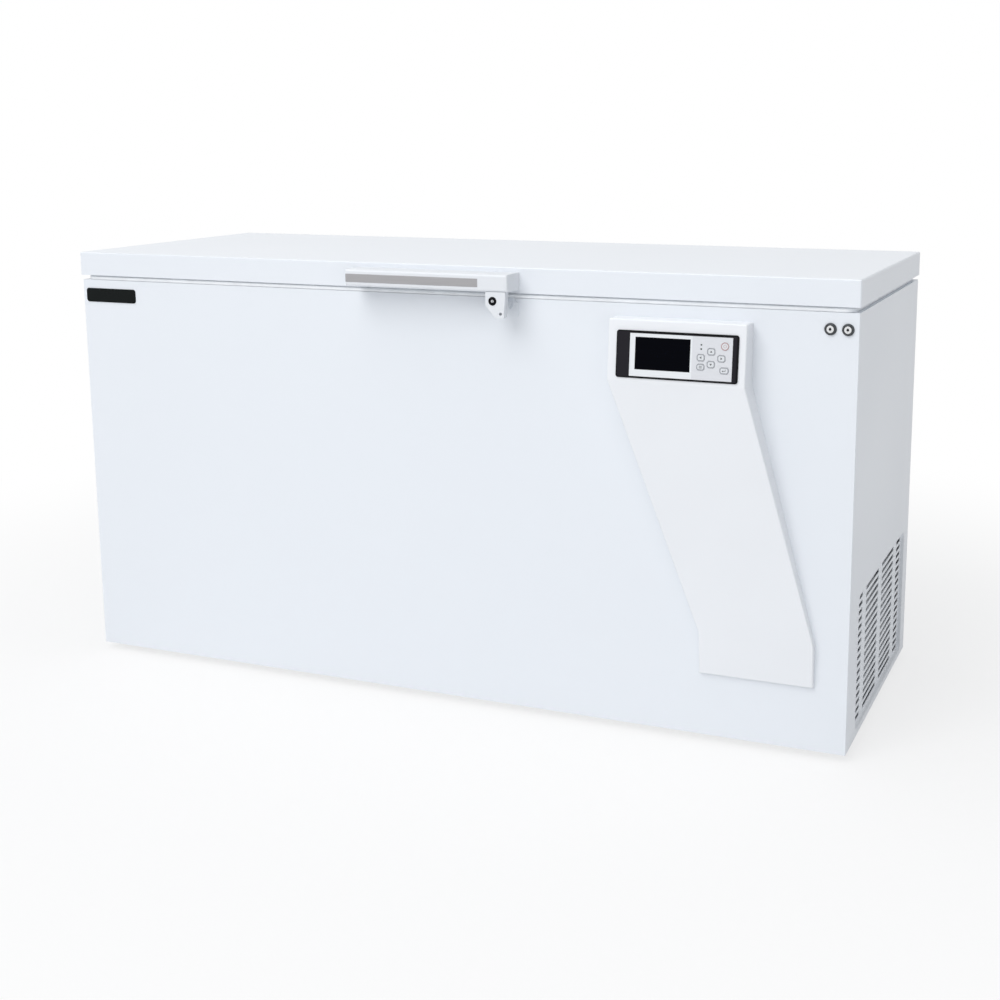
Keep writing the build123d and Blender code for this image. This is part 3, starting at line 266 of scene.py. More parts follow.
class Wiring:
    """A node tree that is wired step by step."""

    def __init__(self, tree):
        self.tree = tree

    def feed(self, value, target):
        """Gives an input a plain value or another node's socket."""
        if isinstance(value, bpy.types.NodeSocket):
            self.tree.links.new(value, target)
        else:
            target.default_value = value

    def node(self, kind, inputs=None, **settings):
        """A new node with its settings and its fed inputs."""
        made = self.tree.nodes.new(kind)
        for key, value in settings.items():
            setattr(made, key, value)
        for key, value in (inputs or {}).items():
            self.feed(value, made.inputs[key])
        return made

    def combined(self, operation, first, second):
        """One operation on two values."""
        made = self.node("ShaderNodeMath", {0: first, 1: second}, operation=operation)
        return made.outputs["Value"]

    def vector(self, operation, result, *values):
        """One operation on vectors; result names the output."""
        inputs = dict(enumerate(values))
        return self.node("ShaderNodeVectorMath", inputs, operation=operation).outputs[result]

    def span(self, source, low, high, out_low, out_high):
        """A value moved from one range to another, softly at both ends."""
        inputs = {
            "Value": source,
            "From Min": low,
            "From Max": high,
            "To Min": out_low,
            "To Max": out_high,
        }
        made = self.node("ShaderNodeMapRange", inputs, interpolation_type="SMOOTHSTEP")
        return made.outputs["Result"]

    def blend(self, factor, first, second):
        """A colour between two colours; either may be a socket."""
        made = self.node("ShaderNodeMix", {"Factor": factor}, data_type="RGBA")
        for place, value in ((FIRST_COLOUR, first), (SECOND_COLOUR, second)):
            plain = not isinstance(value, bpy.types.NodeSocket)
            self.feed((*value, 1.0) if plain else value, made.inputs[place])
        return made.outputs[MIXED_COLOUR]

    def seen(self):
        """One for what the camera, a gloss or a clear body sees, otherwise nought."""
        rays = self.node("ShaderNodeLightPath").outputs
        either = self.combined("MAXIMUM", rays["Is Camera Ray"], rays["Is Glossy Ray"])
        return self.combined("MAXIMUM", either, rays["Is Transmission Ray"])


class Painter(Wiring):
    """Builds one surface material step by step."""

    def __init__(self, name):
        self.material = bpy.data.materials.new(name)
        self.material.use_nodes = True
        super().__init__(self.material.node_tree)
        self.shader = self.tree.nodes["Principled BSDF"]
        self.place = self.node("ShaderNodeTexCoord").outputs["Object"]

    def set(self, **values):
        """Plain values on the shader's own sockets; spaces are written as underscores."""
        for key, value in values.items():
            self.shader.inputs[key.replace("_", " ")].default_value = value
        return self

    def stretched(self, scale):
        """Object coordinates, scaled unevenly along the three axes."""
        made = self.node("ShaderNodeMapping", {"Vector": self.place, "Scale": scale})
        return made.outputs["Vector"]

    def noise(self, scale, detail=2.0, rough=0.5, source=None):
        inputs = {
            "Vector": source or self.place,
            "Scale": scale,
            "Detail": detail,
            "Roughness": rough,
        }
        return self.node("ShaderNodeTexNoise", inputs).outputs["Fac"]

    def within(self, source, low, high):
        """One between two places, nought outside them."""
        rise = self.span(source, low, low + SOFT_EDGE, 0, 1)
        fall = self.span(source, high - SOFT_EDGE, high, 1, 0)
        return self.combined("MULTIPLY", rise, fall)

    def along(self, axis):
        """Place along a direction."""
        return self.vector("DOT_PRODUCT", "Value", self.place, axis)

    def panel(self, box):
        """One inside the left, right, lower and upper edges of a box on the slanted face."""
        left, right, low, high = box
        wide = self.within(self.along(ACROSS), left, right)
        tall = self.within(self.along(RISE), low, high)
        return self.combined("MULTIPLY", wide, tall)

    def reach(self, centre):
        """Distance from a centre line that runs from front to back."""
        shift = self.vector("SUBTRACT", "Vector", self.place, centre)
        flat = self.vector("MULTIPLY", "Vector", shift, (1, 0, 1))
        return self.vector("LENGTH", "Value", flat)

    def colour(self, source):
        self.feed(source, self.shader.inputs["Base Color"])

    def tint(self, pattern, low, high, first, second):
        """Colour from first to second, as the pattern goes from low to high."""
        self.colour(self.blend(self.span(pattern, low, high, 0, 1), first, second))

    def gloss(self, pattern, low, high, least, most):
        """Roughness from least to most, as the pattern goes from low to high."""
        self.feed(self.span(pattern, low, high, least, most), self.shader.inputs["Roughness"])

    def bump(self, pattern, strength, depth):
        """Relief of the surface; depth is in metres."""
        inputs = {"Height": pattern, "Strength": strength, "Distance": depth}
        relief = self.node("ShaderNodeBump", inputs)
        self.feed(relief.outputs["Normal"], self.shader.inputs["Normal"])


class Tree(Wiring):
    """A geometry node tree that repeats one piece and paints it."""

    def __init__(self, name, sizes):
        super().__init__(bpy.data.node_groups.new(name, "GeometryNodeTree"))
        inputs = {"Geometry": "Geometry", "Piece": "Object", "Material": "Material", **sizes}
        face = self.tree.interface
        for label, kind in inputs.items():
            face.new_socket(label, in_out="INPUT", socket_type="NodeSocket" + kind)
        face.new_socket("Geometry", in_out="OUTPUT", socket_type="NodeSocketGeometry")
        self.start = self.node("NodeGroupInput").outputs

    def repeat(self, points):
        """The piece on every point, made real and painted."""
        piece = self.node("GeometryNodeObjectInfo", {"Object": self.start["Piece"]})
        copies = {"Points": points, "Instance": piece.outputs["Geometry"]}
        spread = self.node("GeometryNodeInstanceOnPoints", copies)
        real = self.node(
            "GeometryNodeRealizeInstances", {"Geometry": spread.outputs["Instances"]}
        )
        paint = {"Geometry": real.outputs["Geometry"], "Material": self.start["Material"]}
        painted = self.node("GeometryNodeSetMaterial", paint)
        self.node("NodeGroupOutput", {"Geometry": painted.outputs["Geometry"]})
        return self.tree


def copies_tree():
    """Puts one piece on every point of the base mesh."""
    tree = Tree("copies_on_points", {})
    return tree.repeat(tree.start["Geometry"])


def row_tree():
    """Puts one piece on the points of a straight row, from its start by its step."""
    tree = Tree("straight_row", {"Count": "Int", "Start": "Vector", "Step": "Vector"})
    sizes = {
        "Count": tree.start["Count"],
        "Start Location": tree.start["Start"],
        "Offset": tree.start["Step"],
    }
    line = tree.node("GeometryNodeMeshLine", sizes, mode="OFFSET")
    return tree.repeat(line.outputs["Mesh"])


# Materials


# Inks of the face plate and of the frame round it
INK_BLACK = (0.002, 0.002, 0.003)
INK_CHARCOAL = (0.013, 0.012, 0.016)


def shade(colour, factor):
    """A colour made darker or lighter."""
    return tuple(min(1.0, c * factor) for c in colour[:3])


def powder_coat(name, colour):
    """White stoved powder coat: a faint orange peel and a soft gloss."""
    paint = Painter(name)
    paint.tint(paint.noise(1.3, 1.0, 0.4), 0.1, 0.9, colour, shade(colour, 0.985))
    paint.gloss(paint.noise(2.5, 1.0, 0.4), 0.1, 0.9, 0.29, 0.33)
    paint.bump(paint.noise(420.0, 2.0, 0.45), 0.05, 0.0002)
    return paint.set(Specular_IOR_Level=0.5, IOR=1.5).material


def moulded(name, colour, rough=0.38, grain=900.0, depth=0.00012, strength=0.12, specular=0.5):
    """Moulded plastic with a fine spark-eroded grain."""
    paint = Painter(name)
    paint.tint(paint.noise(4.0), 0.2, 0.8, colour, shade(colour, 0.975))
    paint.gloss(paint.noise(40.0), 0.3, 0.7, rough - 0.04, rough + 0.04)
    paint.bump(paint.noise(grain, 3.0, 0.6), strength, depth)
    return paint.set(Specular_IOR_Level=specular).material


def brushed(name, colour, along, rough=0.3, metallic=1.0):
    """Metal brushed along one axis: 0, 1 or 2."""
    paint = Painter(name)
    scale = [2600.0, 2600.0, 2600.0]
    scale[along] = 12.0
    lines = paint.noise(1.0, 3.0, 0.6, paint.stretched(scale))
    paint.tint(lines, 0.25, 0.75, shade(colour, 0.86), colour)
    paint.gloss(lines, 0.25, 0.75, rough - 0.07, rough + 0.1)
    paint.bump(lines, 0.15, 0.00006)
    return paint.set(Metallic=metallic).material


def polished(name, colour, rough=0.09):
    """Bright plated metal with faint handling marks."""
    paint = Painter(name)
    smear = paint.noise(90.0, 4.0, 0.6)
    paint.tint(smear, 0.35, 0.75, colour, shade(colour, 0.93))
    paint.gloss(smear, 0.3, 0.7, rough - 0.03, rough + 0.06)
    paint.bump(paint.noise(700.0), 0.03, 0.00005)
    return paint.set(Metallic=1.0).material


def spangled(name, colour):
    """Galvanised sheet with its crystal pattern."""
    paint = Painter(name)
    cells = paint.node("ShaderNodeTexVoronoi", {"Vector": paint.place, "Scale": 90.0})
    grey = paint.node("ShaderNodeRGBToBW", {"Color": cells.outputs["Color"]})
    flake = grey.outputs["Val"]
    paint.colour(paint.blend(flake, shade(colour, 0.8), colour))
    paint.gloss(flake, 0, 1, 0.32, 0.5)
    return paint.set(Metallic=0.9).material


def rubbery(name, colour, rough=0.6):
    """Soft rubber or vinyl with a matt skin."""
    paint = Painter(name)
    cloud = paint.noise(25.0, 3.0)
    paint.tint(cloud, 0.3, 0.7, colour, shade(colour, 0.93))
    paint.gloss(cloud, 0.3, 0.7, rough - 0.06, rough + 0.06)
    paint.bump(paint.noise(600.0, 3.0), 0.15, 0.0001)
    return paint.material


def display_black(name):
    """Black frame plastic with a charcoal strip at each side of the face plate."""
    frame_left, frame_right, foot, head = face_box("display_frame")
    plate_left, plate_right = face_box("face_plate")[:2]
    margin = 2.0 * MM
    left_margin = 1.6 * MM
    right_margin = 3.6 * MM
    left_gap = 0.5 * MM
    right_gap = 0.3 * MM
    tall = (foot + margin, head - margin)
    left_strip = (frame_left + left_margin, plate_left - left_gap, *tall)
    right_strip = (plate_right + right_gap, frame_right - right_margin, *tall)
    paint = Painter(name)
    source = INK_BLACK
    for box in (left_strip, right_strip):
        source = paint.blend(paint.panel(box), source, INK_CHARCOAL)
    paint.colour(source)
    paint.gloss(paint.noise(60.0), 0.3, 0.7, 0.34, 0.42)
    paint.bump(paint.noise(900.0), 0.1, 0.0001)
    return paint.set(Specular_IOR_Level=0.12).material


def plate_print(name):
    """Printed face plate: black lines, white round the window and greyer round the keys."""
    left, right, low, high = face_box("lcd_panel")
    foot, head = face_box("face_plate")[2:]
    line = 0.8 * MM
    keypad_gap = 4.0 * MM
    keypad_edge = right + keypad_gap
    window = (left - line, right + line, low - line, high + line)
    paint = Painter(name)
    side = paint.span(paint.along(ACROSS), keypad_edge, keypad_edge + SOFT_EDGE, 0, 1)
    white = paint.blend(side, (0.80, 0.82, 0.84), (0.71, 0.72, 0.75))
    inside = paint.within(paint.along(RISE), foot + line, head - line)
    framed = paint.blend(inside, INK_BLACK, white)
    paint.colour(paint.blend(paint.panel(window), framed, INK_BLACK))
    paint.gloss(paint.noise(50.0), 0.3, 0.7, 0.33, 0.4)
    paint.bump(paint.noise(1100.0), 0.06, 0.00008)
    return paint.material


def centred_metal(name, centre, radius, inside, outside, metal):
    """Turned face: one colour and metal share within the radius, others outside it."""
    paint = Painter(name)
    edge = paint.span(paint.reach(centre), radius, radius + SOFT_EDGE, 0, 1)
    paint.colour(paint.blend(edge, inside, outside))
    paint.gloss(paint.noise(400.0), 0.2, 0.8, 0.22, 0.32)
    paint.feed(paint.span(edge, 0, 1, *metal), paint.shader.inputs["Metallic"])
    paint.bump(paint.noise(900.0), 0.06, 0.00006)
    return paint.set(Specular_IOR_Level=0.1).material


def dark_window(name, colour):
    """Switched-off display behind its clear window."""
    paint = Painter(name)
    lines = paint.noise(1.0, 1.0, 0.4, paint.stretched((6.0, 6.0, 420.0)))
    paint.tint(lines, 0.3, 0.7, colour, shade(colour, 1.35))
    paint.gloss(paint.noise(30.0), 0.3, 0.7, 0.10, 0.14)
    return paint.set(Specular_IOR_Level=0.03).material


FINISHES = {
    "painted_steel": lambda c: powder_coat("white_powder_coat", c.paint),
    "galvanised_steel": lambda c: spangled("galvanised_sheet", (0.60, 0.62, 0.64)),
    "liner_metal": lambda c: brushed("chamber_aluminium", (0.70, 0.71, 0.72), 2, 0.42, 0.85),
    "foam": lambda c: rubbery("insulating_foam", (0.80, 0.70, 0.45), 0.8),
    "collar_plastic": lambda c: moulded("mouth_frame_plastic", (0.80, 0.81, 0.82), 0.35),
    "rubber_black": lambda c: rubbery("black_rubber", (0.03, 0.03, 0.03)),
    "gasket_white": lambda c: rubbery("seal_vinyl", c.seal, 0.5),
    "copper": lambda c: polished("copper_tube", (0.80, 0.43, 0.28), 0.22),
    "black_enamel": lambda c: moulded("black_enamel", (0.02, 0.02, 0.02), 0.3, 300.0),
    "black_plastic": lambda c: moulded("black_plastic", (0.018, 0.018, 0.02), 0.36),
    "fin_metal": lambda c: brushed("fin_aluminium", (0.86, 0.87, 0.88), 2, 0.4, 0.3),
    "lagging": lambda c: rubbery("foam_lagging", (0.03, 0.03, 0.035), 0.75),
    "steel_bright": lambda c: brushed("satin_steel", (0.56, 0.57, 0.58), 0, 0.3),
    "console_plastic": lambda c: moulded("console_plastic", c.console, 0.34, 700.0),
    "frame_plastic": lambda c: display_black("display_frame_plastic"),
    "plate_plastic": lambda c: plate_print("face_plate_print"),
    "lcd_dark": lambda c: dark_window("dark_window", (0.0006, 0.0008, 0.0022)),
    "lamp": lambda c: polished("lamp_lens", (0.12, 0.14, 0.13), 0.15),
    "board": lambda c: moulded("board_green", (0.02, 0.14, 0.06), 0.4),
    "chromed": lambda c: polished("chrome_plate", (0.70, 0.71, 0.73)),
    "handle_plastic": lambda c: moulded("handle_plastic", c.handle, 0.32, 700.0),
}
MADE = {}


def finish_of(slot):
    """The material for one slot, made once."""
    if slot not in MADE:
        MADE[slot] = FINISHES[slot](bpy.context.scene.freezer_finish)
    return MADE[slot]


def slot_of(node):
    """The record's material slot of a frame node."""
    rows = frame["record"]["subparts"]
    return [row["material_slot"] for row in rows if row["node"] == node][0]


# Pieces


def give_material(piece, material):
    piece.data.materials.clear()
    piece.data.materials.append(material)


def belong(piece, body, slot, material=None):
    """Rides a piece on its body and gives it its finish."""
    give_material(piece, material or finish_of(slot))
    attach(piece, body)
    return piece


def stand_in(piece, node, material=None):
    """Puts a piece in a frame node's stead, on its body and in its slot."""
    belong(piece, NODES[node]["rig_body"], slot_of(node), material)
    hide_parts(node)
    return piece


def object_from(bm, name):
    """An object at the origin from a bmesh, which is freed."""
    mesh = bpy.data.meshes.new(name)
    bm.to_mesh(mesh)
    bm.free()
    piece = bpy.data.objects.new(name, mesh)
    bpy.context.scene.collection.objects.link(piece)
    return piece


def baked(piece):
    """The piece with its modifiers worked into a plain mesh."""
    bpy.context.view_layer.update()
    graph = bpy.context.evaluated_depsgraph_get()
    mesh = bpy.data.meshes.new_from_object(piece.evaluated_get(graph))
    piece.modifiers.clear()
    piece.data = mesh
    return piece


def smooth(piece, degrees=32.0):
    """Soft shading, kept sharp at corners above the given angle."""
    piece.data.shade_smooth()
    piece.data.set_sharp_from_angle(angle=math.radians(degrees))
    weigh = piece.modifiers.new("even_normals", "WEIGHTED_NORMAL")
    weigh.keep_sharp = True
    weigh.weight = 80
    return baked(piece)


def softened(piece, width, segments=3):
    """Edges above forty degrees rounded."""
    bevel = piece.modifiers.new("edge_rounding", "BEVEL")
    bevel.width = width
    bevel.segments = segments
    bevel.limit_method = "ANGLE"
    bevel.angle_limit = math.radians(40)
    return baked(piece)


def carved(piece, cutter):
    """The piece less its cutter, which is deleted."""
    cut = piece.modifiers.new("opening", "BOOLEAN")
    cut.object = cutter
    cut.operation = "DIFFERENCE"
    cut.solver = "EXACT"
    cut.use_self = True
    baked(piece)
    bpy.data.objects.remove(cutter)
    return piece


def clean_copy(node, name, bevel=0.0, segments=2, degrees=32.0, material=None):
    """A merged, smoothly shaded copy that stands for a frame node."""
    bm = bmesh.new()
    bm.from_mesh(NODES[node].data)
    bmesh.ops.remove_doubles(bm, verts=bm.verts, dist=TINY)
    flat = math.radians(0.5)
    bmesh.ops.dissolve_limit(
        bm, angle_limit=flat, verts=bm.verts, edges=bm.edges, delimit={"NORMAL"}
    )
    piece = object_from(bm, name)
    if bevel:
        softened(piece, bevel, segments)
    return stand_in(smooth(piece, degrees), node, material)


def finished(bm, name, node, degrees=32.0, material=None):
    """A smoothly shaded piece from a bmesh that stands for a frame node."""
    return stand_in(smooth(object_from(bm, name), degrees), node, material)


def stacked(bm, sections, closed=False):
    """A form through sections with equally many points; closed joins the last to the first."""
    rings = [[bm.verts.new(point) for point in section] for section in sections]
    if closed:
        rings.append(rings[0])
    else:
        bm.faces.new(rings[-1])
        bm.faces.new(list(reversed(rings[0])))
    count = len(rings[0])
    for a, b in zip(rings, rings[1:]):
        for i in range(count):
            j = (i + 1) % count
            bm.faces.new((a[i], a[j], b[j], b[i]))
    bmesh.ops.recalc_face_normals(bm, faces=bm.faces)


def lathe(bm, profile, place, axis, steps=48):
    """A turned form: profile holds (radius, place along the axis)."""
    third = axis.cross(RIGHT)
    rings = []
    for radius, along in profile:
        spot = place + axis * along
        if radius < TINY:
            rings.append([bm.verts.new(spot)])
            continue
        ring = []
        for i in range(steps):
            angle = 2 * math.pi * i / steps
            arm = RIGHT * math.cos(angle) + third * math.sin(angle)
            ring.append(bm.verts.new(spot + arm * radius))
        rings.append(ring)
    for a, b in zip(rings, rings[1:]):
        for i in range(steps):
            j = (i + 1) % steps
            if len(a) == 1:
                bm.faces.new((a[0], b[i], b[j]))
            elif len(b) == 1:
                bm.faces.new((a[i], a[j], b[0]))
            else:
                bm.faces.new((a[i], a[j], b[j], b[i]))
    bmesh.ops.remove_doubles(bm, verts=bm.verts, dist=TINY)
    bmesh.ops.recalc_face_normals(bm, faces=bm.faces)


def rod(bm, radius, place, length, steps):
    """A closed round rod from a place backwards."""
    lathe(bm, [(0, 0), (radius, 0), (radius, length), (0, length)], place, BACK, steps)


def block(bm, middle, size):
    """A plain box round its middle."""
    made = bmesh.ops.create_cube(bm, size=1.0)
    matrix = Matrix.Translation(middle) @ Matrix.Diagonal((*size, 1))
    bmesh.ops.transform(bm, matrix=matrix, verts=made["verts"])


def grown(base, tree, unit, slot, sizes):
    """Runs a tree on the base with copies of a unit, and keeps the result as a plain mesh."""
    values = {"Piece": unit, "Material": finish_of(slot), **sizes}
    modifier = base.modifiers.new("pattern", "NODES")
    modifier.node_group = tree
    for item in tree.interface.items_tree:
        if item.in_out == "INPUT" and item.name in values:
            modifier[item.identifier] = values[item.name]
    baked(base)
    bpy.data.objects.remove(unit)
    return base


# Properties


def colour_setting(name, about, default):
    return bpy.props.FloatVectorProperty(
        name=name, description=about, subtype="COLOR", size=3, min=0, max=1, default=default
    )


def length_setting(name, about, default):
    return bpy.props.FloatProperty(
        name=name, description=about, subtype="DISTANCE", min=0, default=default
    )


def power_setting(name, about, default):
    return bpy.props.FloatProperty(
        name=name, description=about, unit="POWER", min=0, default=default
    )


class FreezerFinish(bpy.types.PropertyGroup):
    paint: colour_setting(
        "Paint", "Colour of the cabinet's and lid's powder coat", (0.83, 0.86, 0.90)
    )
    console: colour_setting("Console", "Colour of the control console", (0.86, 0.875, 0.90))
    handle: colour_setting(
        "Handle", "Colour of the handle and of the lock tongue", (0.80, 0.82, 0.85)
    )
    seal: colour_setting("Seal", "Colour of the lid's soft seal", (0.92, 0.94, 0.96))


class FreezerDetail(bpy.types.PropertyGroup):
    edge_rounding: length_setting(
        "Edge rounding", "Rounding of the floor sheet's folded edges", 0.7 * MM
    )
    fin_count: bpy.props.IntProperty(
        name="Fins", description="Fins of the condenser", default=140, min=2
    )
    fin_thickness: length_setting("Fin thickness", "Sheet of one fin", 0.5 * MM)
    print_height: length_setting(
        "Print height", "Thickness of the printed marks on the keys", 0.06 * MM
    )
    print_line: length_setting(
        "Print line", "Width of the printed outline round a key", 1.5 * MM
    )


class FreezerStudio(bpy.types.PropertyGroup):
    key_power: power_setting("Key light", "Power of the key light", 385.0)
    fill_power: power_setting("Fill light", "Power of the low fill light", 33.0)
    top_power: power_setting("Top light", "Power of the light overhead", 105.0)
    surround: bpy.props.FloatProperty(
        name="Surround", description="Brightness of the surrounding light", default=0.37, min=0
    )
    floor_colour: colour_setting("Floor", "Colour of the floor", (0.9, 0.9, 0.9))


# Operators


class FREEZER_OT_cabinet(bpy.types.Operator):
    """Painted sheets of the cabinet"""

    bl_idname = "freezer.cabinet"
    bl_label = "Cabinet sheets"

    def execute(self, context):
        for node in ("front_panel", "left_side_panel", "rear_panel", "rear_cover"):
            clean_copy(node, node + "_sheet")
        clean_copy("right_side_panel", "right_side_sheet")
        clean_copy("base_pan", "base_sheet", context.scene.freezer_detail.edge_rounding)
        return {"FINISHED"}


class FREEZER_OT_lid(bpy.types.Operator):
    """Lid shell with its foam and inner sheet"""

    bl_idname = "freezer.lid"
    bl_label = "Lid"

    def execute(self, context):
        clean_copy("lid_skin", "lid_shell")
        clean_copy("lid_liner", "lid_inner_sheet")
        clean_copy("lid_foam", "lid_filling")
        return {"FINISHED"}


class FREEZER_OT_seal(bpy.types.Operator):
    """Soft hollow seal under the lid"""

    bl_idname = "freezer.seal"
    bl_label = "Seal"

    def execute(self, context):
        low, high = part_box("lid_gasket")
        middle = (low + high) / 2
        length, depth, height = high - low
        seat = Seat(Vector((middle.x, middle.y, low.z)), RIGHT, BACK, UP)
        sections = []
        for inwards, share in SEAL_SECTION:
            inset = inwards * MM
            end_inset = max(inset, inset * END_BULGE)
            outline = rounded(length - 2 * end_inset, depth - 2 * inset, SEAL_CORNER - inset, 8)
            sections.append(seat.laid(outline, share * height))
        bm = bmesh.new()
        stacked(bm, sections, closed=True)
        finished(bm, "lid_seal", "lid_gasket", 50)
        return {"FINISHED"}


class FREEZER_OT_console(bpy.types.Operator):
    """Slanted console on the front"""

    bl_idname = "freezer.console"
    bl_label = "Console"

    def execute(self, context):
        clean_copy("console_housing", "console_shell", degrees=25)
        return {"FINISHED"}


class FREEZER_OT_display(bpy.types.Operator):
    """Display unit: frame, face plate, window and lamps"""

    bl_idname = "freezer.display"
    bl_label = "Display unit"

    def execute(self, context):
        clean_copy("display_frame", "display_rim", 0.35 * MM)
        clean_copy("face_plate", "display_face", 0.15 * MM)
        clean_copy("lcd_panel", "display_window", 0.2 * MM)
        clean_copy("display_board", "control_board")
        self.lamps()
        return {"FINISHED"}

    def lamps(self):
        """Domed round lenses of the two status lamps."""
        spots = face_spots("status_lamps")
        rise, out = ends(spots)[1:]
        profile = in_mm([(0, 0), (0.9, -0.1), (1.35, -0.45), (1.4, -7.0), (0, -7.0)])
        bm = bmesh.new()
        for upper in (True, False):
            lamp = [spot for spot in spots if (spot[1] > sum(rise) / 2) == upper]
            x = sum(spot[0] for spot in lamp) / len(lamp)
            y = sum(ends(lamp)[1]) / 2
            lathe(bm, profile, ACROSS * x + RISE * y + OUT * out[1], OUT, 24)
        finished(bm, "status_lenses", "status_lamps")


class Key:
    """One key: its node, and the seat and size of its cap on the slanted face."""

    def __init__(self, node):
        self.node = node
        spots = face_spots(node)
        across, rise, out = ends(spots)
        place = ACROSS * sum(across) / 2 + RISE * sum(rise) / 2 + OUT * out[1]
        self.seat = Seat(place, ACROSS, RISE, OUT)
        crown = 0.1 * MM
        cap = [spot for spot in spots if spot[2] > out[1] - crown]
        (left, right), (foot, head) = ends(cap)[:2]
        self.half_width = (right - left) / 2
        self.half_height = (head - foot) / 2

    def rim(self, inset):
        """Edge of the cap: round for power, a square with cut and softened corners for the rest."""
        x = self.half_width - inset
        y = self.half_height - inset
        if self.node == "key_power":
            return rounded(2 * x, 2 * y, x, 8)
        cut = KEY_CUT - inset * (2 - math.sqrt(2))
        corners = []
        for sx, sy in ((1, 1), (-1, 1), (-1, -1), (1, -1)):
            pair = [(sx * x, sy * (y - cut)), (sx * (x - cut), sy * y)]
            corners.extend(pair if sx == sy else reversed(pair))
        return round_corners([(*corner, KEY_SOFTENING - inset) for corner in corners], 4)


def bar(x, y, width, height, corner):
    """Outline of a small bar round a place."""
    return [(x + across, y + up) for across, up in rounded(width, height, corner)]


def open_ring(radius, bore, gap, steps=20):
    """Outline of a flat ring that is open at its top, by the gap on either side."""
    outline = []
    for reach, order in ((radius, range(steps + 1)), (bore, reversed(range(steps + 1)))):
        for i in order:
            angle = math.pi / 2 + gap + (2 * math.pi - 2 * gap) * i / steps
            outline.append((reach * math.cos(angle), reach * math.sin(angle)))
    return outline


def mark_outlines(mark):
    """Outlines of a key's mark round the middle of its cap, in millimetres."""
    if mark == "arrow":
        return [[(2.2, 0), (-1.4, 2.3), (-1.4, -2.3)]]
    if mark == "bars":
        return [bar(0, y, 5.6, 0.8, 0.3) for y in (-1.8, 0, 1.8)]
    if mark == "hook":
        head = [(-4.2, -0.8), (-1.6, -2.5), (-1.6, 0.9)]
        return [bar(0, -0.8, 5.2, 0.8, 0.2), bar(2.2, 0.9, 0.8, 3.2, 0.2), head]
    return [open_ring(2.9, 2.2, math.radians(38)), bar(0, 2.1, 0.75, 2.6, 0.2)]


class FREEZER_OT_keypad(bpy.types.Operator):
    """Seven keys with their printed outlines and marks"""

    bl_idname = "freezer.keypad"
    bl_label = "Keypad"

    def execute(self, context):
        detail = context.scene.freezer_detail
        grey = moulded("print_grey", (0.30, 0.31, 0.34), 0.5)
        dark = moulded("print_dark", (0.09, 0.09, 0.10), 0.5)
        red = moulded("print_red", (0.46, 0.27, 0.27), 0.5)
        cap_finish = moulded("key_cap_plastic", (0.72, 0.74, 0.76), 0.34, 1100.0)
        for node, (mark, turn) in KEYS.items():
            key = Key(node)
            power = mark == "power"
            self.cap(key, cap_finish)
            self.outline(key, detail, red if power else grey)
            self.mark(key, mark, turn, detail, red if power else dark)
        return {"FINISHED"}

    def cap(self, key, finish):
        """Key cap with a soft crown, clear of its hole in the plate."""
        levels = in_mm([(0.0, -5.5), (0.0, -0.4), (0.1, -0.15), (0.3, 0.0)])
        bm = bmesh.new()
        stacked(bm, [key.seat.laid(key.rim(inset), level) for inset, level in levels])
        finished(bm, key.node + "_cap", key.node, 50, finish)

    def outline(self, key, detail, ink):
        """Printed ring near the cap's edge."""
        outer = key.rim(PRINT_INSET)
        inner = key.rim(PRINT_INSET + detail.print_line)
        top = detail.print_height
        rings = ((outer, top), (inner, top), (inner, -PRINT_SINK), (outer, -PRINT_SINK))
        bm = bmesh.new()
        stacked(bm, [key.seat.laid(*ring) for ring in rings], closed=True)
        self.printed(bm, key, "_outline", ink)

    def mark(self, key, mark, turn, detail, ink):
        """Plain mark in the middle of the cap."""
        angle = math.radians(turn)
        side = ACROSS * math.cos(angle) + RISE * math.sin(angle)
        seat = Seat(key.seat.place, side, OUT.cross(side), OUT)
        bm = bmesh.new()
        for outline in mark_outlines(mark):
            levels = (-PRINT_SINK, detail.print_height)
            stacked(bm, [seat.laid(in_mm(outline), level) for level in levels])
        self.printed(bm, key, "_mark", ink)

    def printed(self, bm, key, ending, ink):
        """Something printed on a key, which rides on the key's body."""
        piece = object_from(bm, key.node + ending)
        belong(piece, NODES[key.node]["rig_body"], "plate_plastic", ink)


class FREEZER_OT_badge(bpy.types.Operator):
    """Bare dark plate at the upper left"""

    bl_idname = "freezer.badge"
    bl_label = "Dark plate"

    def execute(self, context):
        low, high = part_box("badge_plate")
        middle = (low + high) / 2
        width, thickness, height = high - low
        seat = Seat(Vector((middle.x, high.y, middle.z)))
        corner = 6.0 * MM
        # Millimetres inwards, and share of the thickness
        levels = ((0, 0), (0, 0.72), (0.12, 0.88), (0.4, 1.0))
        sections = []
        for inwards, share in levels:
            inset = inwards * MM
            outline = rounded(width - 2 * inset, height - 2 * inset, corner - inset, 8)
            sections.append(seat.laid(outline, thickness * share))
        bm = bmesh.new()
        stacked(bm, sections)
        gloss = moulded(
            "dark_plate_gloss", (0.002, 0.004, 0.004), 0.3, 500.0, 0.00005, 0.05, specular=0.12
        )
        finished(bm, "dark_plate", "badge_plate", 50, gloss)
        return {"FINISHED"}


